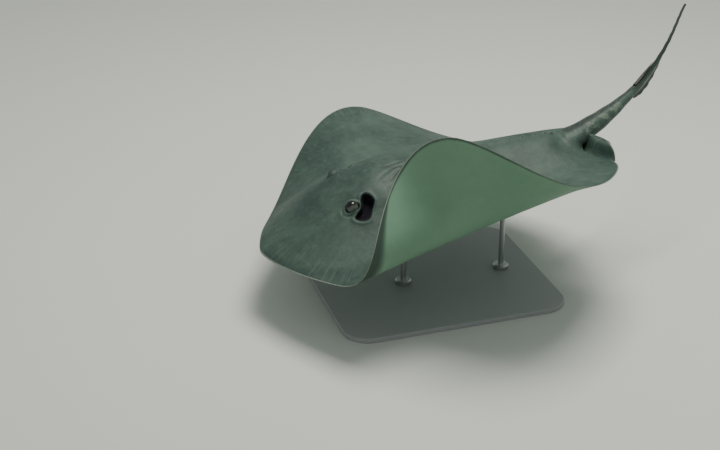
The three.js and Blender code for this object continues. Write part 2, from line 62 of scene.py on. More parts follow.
DISC_HALF_WIDTH = 500
SNOUT_LENGTH, SNOUT_POWER = 435.8, 1.45
REAR_LENGTH, REAR_POWER = 470, 1.6
NOTCH_DEPTH, NOTCH_WIDTH, NOTCH_START, NOTCH_RUN = 80, 115, 270, 200
HUMP_HEIGHT, HUMP_CENTRE, HUMP_FRONT, HUMP_REAR, HUMP_POWER = 72, -120, 200, 550, 2.3
HUMP_WIDTH, HUMP_REAR_WIDTH, HUMP_TAPER_FROM, HUMP_TAPER_RUN = 135, 50, -100, 600
BACK_BLADE, BELLY_BLADE, BELLY_DEPTH, BELLY_WIDTH, BELLY_POWER = 26, 10, 18, 170, 2.5
EDGE_HALF = 1.8
BROW_HEIGHT, BROW_X, BROW_Y, BROW_ACROSS, BROW_ALONG = 11, 62, -205, 24, 34
CORE_HALF_WIDTH = 125
WAIST_DRAW, WAIST_FROM, WAIST_RUN = 0.68, -20, 400
MUZZLE_DRAW, MUZZLE_FROM, MUZZLE_RUN = 0.35, -150, 280
ROLL_START_FRONT, ROLL_START_REAR, ROLL_FRONT_Y, ROLL_RUN = 249.6, 50, -400, 850
ROLL_ANGLE, ROLL_WIDTH, ROLL_CENTRE, ROLL_SPREAD = 2.136, 162, -150.8, 225.3
WAVE_START, WAVE_RISE, WAVE_DROOP, WAVE_CENTRE = 60, 1.205, 0.8, -129
WAVE_SPREAD, WAVE_WIDTH, WAVE_EASE = 296.5, 100, 533
BANK_RISE, BANK_LEVEL, BANK_WIDTH = 17, 125.8, 155
BANK_NOSE, BANK_HEAD, BANK_WAIST, BANK_REAR = -390, -250, -10, 180
ARCH_CENTRE, ARCH_SQUARE, ARCH_CUBE = 30, 1.01e-5, -1.68e-8
PITCH = np.radians(11.84)
BODY_HEIGHT = 240
TAIL_LENGTH, TAIL_STEPS, TAIL_ROOT_Y, TAIL_ROOT_Z = 812, 270, 330, 17
TAIL_YAW = (1.972, -0.925, -0.143)
TAIL_RISE = (0.37, -0.11, -0.332)
TAIL_TIP, TAIL_SWELL, TAIL_TAPER = 6.0, 43.5, 0.27
TAIL_ROOT_WIDTH, TAIL_ROUND_FROM, TAIL_FLARE, TAIL_FLARE_END = 1.35, 0.4, 0.4, 0.12
KEEL_FROM, KEEL_TO, KEEL_HEIGHT, KEEL_RISE, KEEL_FALL = 0.34, 0.72, 4.5, 0.08, 0.16
FOLD_FROM, FOLD_TO, FOLD_DEPTH, FOLD_PEAK = 0.325, 0.575, 26, 0.37
STING_FROM, STING_LENGTH, STING_WIDTH, STING_THICK, STING_LIFT = 0.345, 104, 8, 4.4, 5
STING_TEETH = 26
PELVIC_ROOT_X, PELVIC_TIP_X, PELVIC_ROOT_Y, PELVIC_TIP_Y = 89, 96.5, 328, 435
PELVIC_HALF, PELVIC_INNER, PELVIC_THICK, PELVIC_EDGE, PELVIC_RUN = 64, 96, 7, 1.4, 26
PELVIC_RISES = {1: (33, 22), -1: (12, 8)}
EYE_X, EYE_Y, EYE_RADIUS, EYE_SINK = 74, -213, 16, 9
LID_REACH, LID_EASE, BALL_GAP = 34, 10, 2.6
SPIRACLE_X, SPIRACLE_Y, SPIRACLE_REACH, SPIRACLE_DEPTH = 87, -177, 60, 22
SPIRACLE_LONG, SPIRACLE_HALF, SPIRACLE_BOW, SPIRACLE_FLARE = 34, 17.5, 17, 14
FOLDS_X, FOLDS_Y, FOLDS_REACH = 12, -30, 125
# Angle of each skin fold of the hump from straight ahead, in radians, and its depth.
SKIN_FOLDS = ((-0.5, 2.6), (-0.2, 4.2), (0.02, 2.6), (0.2, 3.6), (0.4, 4.6), (0.6, 3.2), (0.85, 3.6))
SHOULDER_HEIGHT, SHOULDER_X, SHOULDER_RUN = 3.2, 106, 22
MOUTH_Y, MOUTH_HALF, MOUTH_BOW, MOUTH_DEPTH = -238, 45, 5, 6
NOSTRIL_X, NOSTRIL_Y, NOSTRIL_DEPTH = 40, -262, 6
GILLS, GILL_X, GILL_X_STEP, GILL_Y, GILL_Y_STEP, GILL_DEPTH = 5, 94, 8, -172, 31, 3.6
VENT_FROM, VENT_TO, VENT_DEPTH = 300, 338, 3
THORN_HEIGHT, THORN_LEAN, THORN_SIDES = 6, 5, 10
THORN_RISES = (-6.0, -0.8, 0.4, 1.6, 3.2, 4.8, 5.9)
THORN_RADII = (7.5, 6.6, 4.4, 3.0, 1.9, 1.0, 0.25)
BACK_THORNS, BACK_THORN_FROM, BACK_THORN_TO = 12, -25, 350
TAIL_THORNS, TAIL_THORN_FROM, TAIL_THORN_TO = 8, 0.06, 0.33

# ---- Studio, in metres and in pixels of a view VIEW_WIDTH wide --------------------------------

FLOOR_RADII, FLOOR_SIDES = (0.0005, 1.0, 4.0, 12.0, 40.0), 96
KEY_PLACE, KEY_SIZE, KEY_COLOUR = (-0.3, 0.45, 3.4), 1.5, (1.0, 0.97, 0.9)
KEY_AIM = (0, 0.1, 0.24)
CAMERA_AIM = (-0.0238, 0.0105, 0.24)
VIEW_WIDTH, AIM_RIGHT, AIM_ABOVE = 720, 80, 35
SENSOR_WIDTH = 36

# ---- Small functions --------------------------------------------------------------------------


def smooth(t):
    """3 t^2 - 2 t^3, with t held between 0 and 1."""
    t = np.clip(t, 0, 1)
    return t * t * (3 - 2 * t)


def bell(t, power=2.0):
    """e to the minus |t| to the power."""
    return np.exp(-(np.abs(t) ** power))


def lerp(a, b, t):
    """a plus the share t of the way to b."""
    return a + (b - a) * t


def unit(v):
    """Vectors divided by their lengths."""
    return v / np.maximum(np.linalg.norm(v, axis=-1, keepdims=True), 1e-9)


def dot(a, b):
    """Sum of products over the last axis."""
    return (a * b).sum(-1)


# ---- The flat body ----------------------------------------------------------------------------


def half_width(y):
    """Half width of the disc: w (1 - q^p)^(1/p), where w is its greatest and q is |y| over the
    length of that half."""
    front = y < 0
    power = np.where(front, SNOUT_POWER, REAR_POWER)
    q = np.clip(np.abs(y) / np.where(front, SNOUT_LENGTH, REAR_LENGTH), 0, 1)
    return DISC_HALF_WIDTH * np.clip(1 - q**power, 1e-12, None) ** (1 / power)


def core_half_width(y):
    """Half width of head and trunk, drawn in smoothly at the waist and at the muzzle."""
    waist = 1 - WAIST_DRAW * smooth((y - WAIST_FROM) / WAIST_RUN)
    muzzle = 1 - MUZZLE_DRAW * smooth((MUZZLE_FROM - y) / MUZZLE_RUN)
    return CORE_HALF_WIDTH * waist * muzzle


def notch_shift(x, y):
    """How far the rear edge is drawn in: a bell across times a smooth start along."""
    return NOTCH_DEPTH * bell(x / NOTCH_WIDTH, 3) * smooth((y - NOTCH_START) / NOTCH_RUN)


def section(x, y):
    """Shares s out to the edge and q along the disc, the fin's blade and its rounded edge."""
    s = np.clip(np.abs(x) / np.maximum(half_width(y), 1e-3), 0, 1)
    q = np.clip(np.abs(y) / np.where(y < 0, SNOUT_LENGTH, REAR_LENGTH), 0, 1)
    blade = np.clip(1 - s * s, 0, 1) ** 1.5 * (1 - q**4)
    edge = EDGE_HALF * np.sqrt(np.clip((1 - s**8) * (1 - q**16), 0, 1))
    return s, q, blade, edge


def back(x, y):
    """Height of the back: hump (a bell across times a bell along), blade, edge and brows."""
    s, _, blade, edge = section(x, y)
    from_peak = y - notch_shift(x, y) - HUMP_CENTRE
    along = bell(from_peak / np.where(from_peak < 0, HUMP_FRONT, HUMP_REAR))
    width = lerp(HUMP_WIDTH, HUMP_REAR_WIDTH, smooth((y - HUMP_TAPER_FROM) / HUMP_TAPER_RUN))
    hump = HUMP_HEIGHT * bell(x / width, HUMP_POWER) * along * (1 - s**4)
    brow = BROW_HEIGHT * bell((np.abs(x) - BROW_X) / BROW_ACROSS) * bell((y - BROW_Y) / BROW_ALONG)
    return hump + BACK_BLADE * blade + edge + brow


def belly(x, y):
    """Depth of the belly, as a height below zero: a wide bell, the blade and the edge."""
    s, q, blade, edge = section(x, y)
    depth = BELLY_DEPTH * bell(x / BELLY_WIDTH, BELLY_POWER) * (1 - q**4) * (1 - s**4)
    return -(depth + BELLY_BLADE * blade + edge)


# ---- The pose ---------------------------------------------------------------------------------


def bend(x, z, start, slope):
    """Carries a point along the bent middle surface: sums of cosine and sine of the slope, in
    20 steps from the start of the bend, plus z along the normal there."""
    reach = np.clip(x - start, 0, None)
    steps = 20
    out = np.minimum(x, start) * 1.0
    up = np.zeros_like(out)
    for k in range(steps):
        angle = slope(reach * (k + 0.5) / steps)
        out = out + np.cos(angle) * reach / steps
        up = up + np.sin(angle) * reach / steps
    end = slope(reach)
    return out - z * np.sin(end), up + z * np.cos(end)


def pose(x, y, z, along):
    """From flat to posed: roll (x > 0) or wave (x < 0), arch by a square and a cube, then pitch."""
    x, y, z, along = np.broadcast_arrays(*(np.asarray(v, float) for v in (x, y, z, along)))
    start = lerp(ROLL_START_FRONT, ROLL_START_REAR, (y - ROLL_FRONT_Y) / ROLL_RUN)
    share = 1 / (1 + ((y - ROLL_CENTRE) / ROLL_SPREAD) ** 2)
    lift = WAVE_RISE * bell((y - WAVE_CENTRE) / WAVE_SPREAD) - WAVE_DROOP
    left = bend(x, z, start, lambda d: ROLL_ANGLE * share * smooth(d / ROLL_WIDTH))
    right = bend(-x, z, WAVE_START, lambda d: lift * (smooth(d / WAVE_WIDTH) - d / WAVE_EASE))
    out = np.where(x >= 0, left[0], -right[0])
    up = np.where(x >= 0, left[1], right[1])
    up = up + arch(along) + bank(x, y)
    sin, cos = np.sin(PITCH), np.cos(PITCH)
    return np.stack([out, along * cos - up * sin, up * cos + along * sin + BODY_HEIGHT], -1)


def bank(x, y):
    """Height added by the bank of head and trunk: a slope across, faded by bells and steps."""
    front = smooth((y - BANK_NOSE) / (BANK_HEAD - BANK_NOSE))
    behind = smooth((BANK_REAR - y) / (BANK_REAR - BANK_WAIST))
    return BANK_RISE * (1 - x / BANK_LEVEL) * bell(x / BANK_WIDTH, 4) * front * behind


def arch(along):
    """Lift of the middle surface by the arch of the back."""
    return ARCH_SQUARE * (along - ARCH_CENTRE) ** 2 + ARCH_CUBE * (along - ARCH_CENTRE) ** 3


def place(x, y, z):
    """The pose of a flat point whose distance along is drawn in by the notch."""
    return pose(x, y, z, y - notch_shift(x, y))


def before_notch(x, along):
    """The flat y that the notch draws in to `along`, by repeated substitution."""
    y = along
    for _ in range(30):
        y = along + notch_shift(x, y)
    return y


def back_frame(x, y):
    """Point, across, along and normal of the back at one flat place, from central differences."""
    step = np.array([-1.0, 1.0])
    a = place(x + step, y, back(x + step, y))
    b = place(x, y + step, back(x, y + step))
    across = unit(a[1] - a[0])
    normal = unit(np.cross(across, b[1] - b[0]))
    return place(x, y, back(x, y)), across, np.cross(normal, across), normal


# ---- Meshes from rings ------------------------------------------------------------------------


def grid_faces(index):
    """Quads of an index grid [..., rows, columns], and triangles where a row shrinks to a pole.
    Seen from outside, the columns run clockwise and the rows away."""
    a, b = index[..., :-1, :-1].ravel(), index[..., :-1, 1:].ravel()
    d, c = index[..., 1:, :-1].ravel(), index[..., 1:, 1:].ravel()
    whole = (a != b) & (c != d)
    quads = np.stack([a, d, c, b], 1)[whole]
    first, last = a == b, c == d
    tris = np.concatenate([np.stack([a, d, c], 1)[first], np.stack([a, d, b], 1)[last]])
    return quads, tris


def tube(rings, **fields):
    """Closed tubes through rings [..., levels, sides, 3]. Each end shrinks to the ring's mean.
    Fields are values per point, and their ends are means too."""
    levels, sides = rings.shape[-3:-1]
    rings = rings.reshape(-1, levels, sides, 3)
    count = len(rings)
    points = np.concatenate([rings.reshape(-1, 3), rings[:, [0, -1]].mean(2).reshape(-1, 3)])
    values = {}
    for name, field in fields.items():
        field = np.broadcast_to(field, (count, levels, sides)) * 1.0
        values[name] = np.concatenate([field.ravel(), field[:, [0, -1]].mean(2).ravel()])
    index = np.arange(count * levels * sides).reshape(count, levels, sides)
    poles = count * levels * sides + np.arange(count * 2).reshape(count, 2, 1)
    poles = np.repeat(poles, sides, 2)
    index = np.concatenate([poles[:, :1], index, poles[:, 1:]], 1)
    index = np.concatenate([index, index[:, :, :1]], 2)
    return points, *grid_faces(index), values


def flesh(rings, **fields):
    """A tube of skin: the fields that aren't given are zero."""
    return tube(rings, **{**dict.fromkeys(FIELDS, 0), **fields})


def joined(shells):
    """Several shells as one: the point numbers of each are moved past those before it."""
    points, quads, tris, fields = zip(*shells)
    starts = np.cumsum([0] + [len(p) for p in points[:-1]])
    quads = np.concatenate([q + s for q, s in zip(quads, starts)])
    tris = np.concatenate([t + s for t, s in zip(tris, starts)])
    values = {n: np.concatenate([f[n] for f in fields]) for n in fields[0]}
    return np.concatenate(points), quads, tris, values


def new_object(name, shell):
    """A smooth-shaded mesh object, in metres, whose fields become point attributes."""
    points, quads, tris, fields = shell
    mesh = bpy.data.meshes.new(name)
    corners = np.concatenate([quads.ravel(), tris.ravel()]).astype(np.int32)
    starts = np.concatenate([np.arange(len(quads)) * 4, len(quads) * 4 + np.arange(len(tris)) * 3])
    mesh.vertices.add(len(points))
    mesh.vertices.foreach_set("co", (points * MM).astype(np.float32).ravel())
    mesh.loops.add(len(corners))
    mesh.loops.foreach_set("vertex_index", corners)
    mesh.polygons.add(len(starts))
    mesh.polygons.foreach_set("loop_start", starts.astype(np.int32))
    mesh.update(calc_edges=True)
    for field, values in {**fields, "known": np.ones(len(points))}.items():
        attribute = mesh.attributes.new(field, "FLOAT", "POINT")
        attribute.data.foreach_set("value", values.astype(np.float32))
    mesh.shade_smooth()
    if mesh.validate():
        raise RuntimeError(f"the mesh of {name} had faulty faces")
    shown = bpy.data.objects.new(name, mesh)
    bpy.context.scene.collection.objects.link(shown)
    return shown


def finish_piece(piece, material, slot, *nodes):
    """Gives a piece its material and body and hides the CAD nodes that it stands for. The argument slot
    is not used.
    """
    piece.data.materials.clear()
    piece.data.materials.append(material)
    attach(piece, BODY)
    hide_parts(*nodes)


# ---- The tail ---------------------------------------------------------------------------------


def tail_direction(s):
    """Run, left and up of the tail at s: yaw is a cubic and rise a square of s."""
    s = np.asarray(s, float)
    yaw = TAIL_YAW[0] * s + TAIL_YAW[1] * s**2 + TAIL_YAW[2] * s**3
    rise = TAIL_RISE[0] + TAIL_RISE[1] * s + TAIL_RISE[2] * s**2
    flat = np.cos(rise)
    run = np.stack([-np.sin(yaw) * flat, np.cos(yaw) * flat, np.sin(rise)], -1)
    left = np.stack([np.cos(yaw), np.sin(yaw), np.zeros_like(yaw)], -1)
    return run, left, np.cross(left, run)


def tail_centreline():
    """The root, then the running sum of short steps along the run."""
    run, _, _ = tail_direction((np.arange(TAIL_STEPS) + 0.5) / TAIL_STEPS)
    root = pose(0, TAIL_ROOT_Y, TAIL_ROOT_Z, TAIL_ROOT_Y)
    return np.concatenate([root[None], root + np.cumsum(run, 0) * TAIL_LENGTH / TAIL_STEPS])


TAIL_POINTS = tail_centreline()


def tail_at(s):
    """Centre, half height, half width and keel of the tail at s, the share of its length."""
    s = np.asarray(s, float)
    known = np.arange(TAIL_STEPS + 1) / TAIL_STEPS
    centre = np.stack([np.interp(s, known, TAIL_POINTS[:, k]) for k in range(3)], -1)
    height = (TAIL_TIP + TAIL_SWELL / (1 + (s / TAIL_TAPER) ** 3)) / 2
    width = height * lerp(TAIL_ROOT_WIDTH, 1, smooth(s / TAIL_ROUND_FROM))
    growing = smooth((s - KEEL_FROM) / KEEL_RISE)
    keel = KEEL_HEIGHT * growing * smooth((KEEL_TO - s) / KEEL_FALL)
    return centre, height, width, keel


# ---- The skin ---------------------------------------------------------------------------------

FILLET, SIDE_FILLET = 26, 45      # reach of the blend between disc and tail, above and beside
SEAM_RINGS, SEAM_ROUNDS = 7, 40   # reach and strength of the rounding of a seam


def side_steps(dense_from, dense_to, coarse, dense, close, outer):
    """Shares 0 to 2 of the way from the middle line to the core's edge (1) and the disc's (2)."""
    core = np.concatenate([
        np.linspace(0, dense_from, coarse, endpoint=False),
        np.linspace(dense_from, dense_to, dense, endpoint=False),
        np.linspace(dense_to, 1, close, endpoint=False),
    ])
    blade = 2 - (1 - np.linspace(0, 1, outer)) ** 1.5
    return np.concatenate([core, blade])


def across(y, steps):
    """Places x across every row, [rows, columns], mirrored about the middle line."""
    edge = half_width(y)[:, None]
    core = np.minimum(core_half_width(y)[:, None], 0.8 * edge)
    x = np.where(steps <= 1, core * steps, lerp(core, edge, steps - 1))
    return np.concatenate([-x[:, :0:-1], x], 1)


def disc_rows():
    """Distances along of the disc's rows, closest at the eyes, the snout's tip and the rear."""
    nose = -SNOUT_LENGTH + 190.8 * np.linspace(0, 1, 45)[1:-1] ** 1.6
    eyes = np.linspace(-245, -150, 72, endpoint=False)
    gills = np.linspace(-150, -30, 46, endpoint=False)
    trunk = np.linspace(-30, 400, 54, endpoint=False)
    rear = REAR_LENGTH - 70 * (1 - np.linspace(0, 1, 26)[:-1]) ** 1.6
    return np.concatenate([nose, eyes, gills, trunk, rear])


def edge_distance(x, y):
    """Distance in from the disc's edge: the gap across over the slant of the outline."""
    slant = (half_width(y + 0.5) - half_width(y - 0.5)) / 1.0
    return np.clip(half_width(y) - np.abs(x), 0, None) / np.sqrt(1 + slant**2)


def ripple(x, y):
    """Soft uneven swell of the fins: two sine waves, fading in over the outer half."""
    s = np.clip(np.abs(x) / np.maximum(half_width(y), 1), 0, 1)
    wave = np.sin(y / 31 + x / 90) + 0.6 * np.sin(y / 17 - x / 60 + 1.3)
    return 1.1 * s**5 * wave * (1 - s**14)


def wrinkles(x, y):
    """Depth of the skin folds that fan out forwards from where the rolled fin meets the hump:
    narrow valleys at uneven angles, deepest some way out, faded at both ends."""
    dx, dy = x - FOLDS_X, FOLDS_Y - y
    angle = np.arctan2(dx, dy)
    reach = np.hypot(dx, dy)
    mask = smooth((reach - 8) / 25) * smooth((FOLDS_REACH - reach) / 80) * (dy > 0)
    valleys = 0
    for at, depth in SKIN_FOLDS:
        bent = angle - at - 0.07 * np.sin(reach / 19 + 9 * at)
        valleys = valleys + depth * bell(bent * reach / (2.2 + reach / 45))
    return valleys * mask


def pit_of(u, v, depth, floor=0.35):
    """A rounded hole: depth inside the ellipse u^2 + v^2 < 1, with a wall that eases out."""
    return depth * smooth((1 - np.sqrt(u * u + v * v)) / floor)


def belly_relief(x, y):
    """Inward depth of mouth, nostrils, gill slits and vent, and how much painted shade darkens each
    place.
    """
    ax = np.abs(x)
    lip = y - MOUTH_Y - MOUTH_BOW * (x / MOUTH_HALF) ** 2
    span = smooth((MOUTH_HALF + 2 - ax) / 8)
    mouth = MOUTH_DEPTH * bell(lip / 2.6, 4) * span
    lips = -1.8 * (bell((lip - 5) / 3.5) + bell((lip + 5.5) / 3.5)) * span
    curtain = smooth((NOSTRIL_X - ax) / 5) * smooth((y - NOSTRIL_Y + 6) / 6)
    curtain = curtain * smooth((MOUTH_Y - 4 - y) / 2)
    fringe = 0.7 * bell((y - MOUTH_Y + 6) / 2.5) * np.sin(x * 1.7) * smooth((NOSTRIL_X - 2 - ax) / 5)
    beyond = ax - NOSTRIL_X
    nostril = pit_of(beyond / 6.5, (y - NOSTRIL_Y + beyond * 0.5) / 8, NOSTRIL_DEPTH)
    relief = mouth + lips - 2.2 * curtain + fringe + nostril
    # Painted shade in the mouth's slit and the nostrils.
    dark = np.clip(bell(lip / 2.2, 4) * span + nostril / NOSTRIL_DEPTH, 0, 1)
    for k in range(GILLS):
        half = 13 - k
        u = (ax - (GILL_X - GILL_X_STEP * k)) / half
        v = y - GILL_Y - GILL_Y_STEP * k - 4 * u * u
        here = smooth((1.15 - np.abs(u)) / 0.3)
        relief = relief + here * (GILL_DEPTH * bell(v / 1.9, 4) - 1.5 * bell((v + 4.5) / 3.5))
        # Painted shade in the gill slits.
        dark = dark + here * bell(v / 1.6, 4)
    vent = bell(x / 2, 4) * smooth((y - VENT_FROM) / 8) * smooth((VENT_TO - y) / 8)
    lips_of_vent = bell((ax - 7) / 4) * smooth((y - VENT_FROM + 4) / 12) * smooth((VENT_TO + 4 - y) / 8)
    return relief + VENT_DEPTH * vent - 1.6 * lips_of_vent, np.clip(dark + vent, 0, 1)


def beside_hump(y):
    """Share along the body where the hump has shoulders: 1 behind the eyes, 0 at the waist."""
    return smooth((y + 190) / 60) * smooth((70 - y) / 90)


def back_relief(x, y):
    """Height added to the back: a low ridge along the middle, a shoulder along each side of the
    hump, ripples and skin folds."""
    ridge = 1.6 * bell(x / 5) * smooth((y + 80) / 60)
    shoulder = SHOULDER_HEIGHT * smooth((SHOULDER_X - np.abs(x)) / SHOULDER_RUN)
    return ridge + shoulder * beside_hump(y) + ripple(x, y) - wrinkles(x, y)


def open_eye(points, side, settings):
    """Wraps the skin round an eyeball and opens a slot between its lids. In the tangent plane,
    the lid is a sphere a little larger than the ball, and the slot is an ellipse."""
    at, out, along, normal = back_frame(side * EYE_X, EYE_Y)
    offset = points - at
    a, b, w = side * dot(offset, out), dot(offset, along), dot(offset, normal)
    lid = settings.lid_thickness / MM
    r2 = a * a + b * b
    near = smooth((LID_REACH - np.sqrt(r2)) / LID_EASE)
    shell = np.sqrt(np.clip((EYE_RADIUS + lid) ** 2 - r2, 0, None)) - EYE_SINK
    gap = (shell - w) * near
    raised = w + 0.5 * (gap + np.sqrt(gap * gap + 9)) - 1.5
    raised = np.where(r2 < LID_REACH**2, lerp(w, raised, near), w)
    slot = np.sqrt(((a - 1.5 - 0.012 * b * b) / settings.slot_height * MM * 2) ** 2
                   + (b / settings.slot_length * MM * 2) ** 2)
    below = smooth((a + 6) / 12)
    crease = (1.3 * bell((slot - 1.62) / 0.13) + below * bell((slot - 2.05) / 0.12)) * near
    rim = 0.9 * bell((slot - 1.2) / 0.17) * near
    inside = np.sqrt(np.clip(EYE_RADIUS**2 - r2, 0, None)) - EYE_SINK - BALL_GAP
    height = lerp(raised + rim - crease, inside, smooth((1.0 - slot) / 0.16))
    height = np.where(r2 < LID_REACH**2, height, w)
    # Painted shade: the skin inside the slot round the ball is dark, with a faint dark ring along the
    # lid's crease.
    dark = np.maximum(smooth((1.1 - slot) / 0.16), 0.34 * bell((slot - 1.62) / 0.14) * near)
    return points + (height - w)[..., None] * normal, dark * (r2 < LID_REACH**2)


def open_spiracle(points, side):
    """Sinks the breathing hole behind an eye: an ellipse whose middle line bows towards the snout
    at its outer end, where it widens forwards, with steep walls and a soft rim."""
    at, out, along, normal = back_frame(side * SPIRACLE_X, SPIRACLE_Y)
    offset = points - at
    a, b, w = side * dot(offset, out), dot(offset, along), dot(offset, normal)
    near = (np.abs(w) < SPIRACLE_REACH / 2) & (np.hypot(a, b) < SPIRACLE_REACH)
    b = b - 2 + SPIRACLE_BOW * smooth((a + 12) / 34)
    half = SPIRACLE_HALF + np.where(b < 0, SPIRACLE_FLARE, 2) * smooth(a / 18)
    slot = np.sqrt((a / SPIRACLE_LONG) ** 2 + (b / half) ** 2)
    rim = 1.8 * bell((slot - 1.13) / 0.15)
    depth = SPIRACLE_DEPTH * smooth((1.04 - slot) / 0.5)
    # Painted shade: the inside of the breathing hole is darkened.
    dark = smooth((1.02 - slot) / 0.14)
    moved = np.where(near, rim - depth, 0)
    return points + moved[..., None] * normal, np.where(near, dark, 0)


def blend_depth(distance, beside):
    """Outward push of a smooth union: reach (1 - d / reach)^2 / 4, for distances up to reach. The
    reach grows to the side one as the share beside goes from 0 to 1."""
    reach = lerp(FILLET, SIDE_FILLET, beside)
    return reach * np.clip(1 - np.clip(distance, 0, None) / reach, 0, 1) ** 2 / 4


def grid_normals(points):
    """Unit normals of a grid from its differences, outward where rows run back and columns left."""
    return unit(np.cross(np.gradient(points, axis=1), np.gradient(points, axis=0)))


def distance_to_tail(points):
    """Distance outside the tail's root, from the elliptical radius at the nearest station."""
    s = np.linspace(0, 0.22, 45)
    centre, height, width, _ = tail_at(s)
    run, left, up = tail_direction(s)
    offset = points[:, None] - centre
    nearest = np.abs(dot(offset, run)).argmin(1)
    offset = offset[np.arange(len(points)), nearest]
    w, h = width[nearest], height[nearest]
    radial = np.hypot(dot(offset, left[nearest]) / w, dot(offset, up[nearest]) / h)
    behind = np.abs(dot(offset, run[nearest]))
    return np.hypot(np.clip(radial - 1, 0, None) * np.minimum(w, h), behind)


def disc(settings):
    """The disc as one closed tube from snout to rear: each ring runs over the back to the right
    edge and under the belly to the left one."""
    rows = disc_rows()
    x = across(rows, side_steps(0.4, 0.96, 12, 46, 3, 38))
    y = np.broadcast_to(rows[:, None], x.shape)
    at_edge = np.abs(x) >= half_width(y) - 1e-6
    upper = place(x, y, np.where(at_edge, 0, back(x, y) + back_relief(x, y)))
    # Painted shade in the skin folds of the hump.
    crease = 0.5 * np.clip(wrinkles(x, y) / 3, 0, 1)
    # Painted shadow: a dark line along each shoulder of the hump, where its far side drops out of view.
    crease += 0.42 * bell((np.abs(x) - 114) / 12) * beside_hump(y)
    # Painted shade of the eye slots, spiracles, skin folds and hump shoulders.
    pit = np.zeros(x.shape)
    for side in (1, -1):
        upper, socket = open_eye(upper, side, settings)
        upper, hole = open_spiracle(upper, side)
        pit = np.maximum(pit, np.maximum(socket, hole))
    under_x = across(rows, side_steps(0.15, 0.9, 4, 38, 3, 24))[:, 1:-1]
    under_y = np.broadcast_to(rows[:, None], under_x.shape)
    relief, dark = belly_relief(under_x, under_y)
    lower = place(under_x, under_y, belly(under_x, under_y) + relief + ripple(under_x, under_y))
    x = np.concatenate([x[:, ::-1], under_x], 1)
    y = np.concatenate([y[:, ::-1], under_y], 1)
    points = np.concatenate([upper[:, ::-1], lower], 1)
    is_back = np.concatenate([np.ones(upper.shape[:2]), np.zeros(lower.shape[:2])], 1)
    is_back[:, [0, upper.shape[1] - 1]] = 0.5
    near = (np.abs(x) < 150) & (y > 230)
    push = np.zeros(x.shape)
    beside = smooth((np.abs(x[near]) - 22) / 25)
    push[near] = blend_depth(distance_to_tail(points[near]), beside)
    points = points + push[..., None] * grid_normals(points)
    angle = np.arctan2(y + 60, np.abs(x) + 30)
    reach = np.hypot(y + 60, x)
    return flesh(
        points,
        back=is_back,
        rim=(edge_distance(x, y) + 160 * bell(x / 85, 4) * smooth((y - 330) / 40)) * MM,
        # Width of the margin band: a narrow dusky margin, widened towards the snout up to 80 mm as
        # painted shade.
        band=lerp(8, 80, smooth((-150 - y) / 120)) * MM,
        pit=np.concatenate([np.maximum(pit, crease)[:, ::-1], dark], 1),
        ray=angle * 0.5 + np.where(x < 0, 3.0, 0),
        reach=reach * MM,
    )


def height_over_disc(points):
    """Distance outside the disc near the tail's root: back through pitch and arch to the flat."""
    lifted = points[..., 2] - BODY_HEIGHT
    along = points[..., 1] * np.cos(PITCH) + lifted * np.sin(PITCH)
    z = lifted * np.cos(PITCH) - points[..., 1] * np.sin(PITCH) - arch(along)
    x = points[..., 0]
    y = np.minimum(before_notch(x, along), REAR_LENGTH)
    beyond = np.clip(along - rear_edge(x), 0, None)
    over = np.maximum(z - back(x, y), belly(x, y) - z)
    return np.where(beyond > 0, np.hypot(beyond, np.clip(np.abs(z) - 2, 0, None)), over)


def tail():
    """The tail tube: ellipses with a narrow keel on top, and a rounded tip."""
    s = np.concatenate([np.linspace(0, 0.97, 236), 1 - 0.03 * (1 - np.linspace(0, 1, 14)[1:]) ** 2])
    s[-1] = 0.99998
    sides = 28
    theta = np.arange(sides) / sides * 2 * np.pi
    centre, height, width, keel = (v[:, None] for v in tail_at(s))
    _, left, up = (v[:, None] for v in tail_direction(s))
    round_end = np.sqrt(np.clip(1 - ((s - 0.985) / 0.015).clip(0, 1) ** 2, 0, 1))[:, None]
    sag = 0.35 * np.sin(s[:, None] * 90 + theta) * smooth(s * 8)[:, None] * smooth(5 - 5 * s)[:, None]
    top = keel * bell((theta - np.pi / 2) / 0.3)
    flare = 1 + TAIL_FLARE * np.clip(1 - s[:, None] / TAIL_FLARE_END, 0, 1) ** 1.6
    high = (height * round_end + sag * round_end) * np.sin(theta) + top * round_end
    wide = (width * round_end * flare + sag * round_end) * np.cos(theta)
    points = centre + left * wide[..., None] + up * high[..., None]
    near = s < 0.25
    push = blend_depth(height_over_disc(points[near]), 0)
    outward = unit(points[near] - centre[near])
    points[near] = points[near] + push[..., None] * outward
    rise = np.broadcast_to(np.sin(theta), high.shape)
    return flesh(
        points,
        back=smooth((rise + 1.15) / 0.5),
        rim=0.2,
        tail=np.broadcast_to(s[:, None], high.shape),
        thorn=bell((theta - np.pi / 2) / lerp(0.35, 1.05, smooth((s[:, None] - 0.3) / 0.05)), 3),
        ray=np.broadcast_to(theta * 0.02, high.shape),
        reach=np.broadcast_to(s[:, None] * 0.812, high.shape),
    )


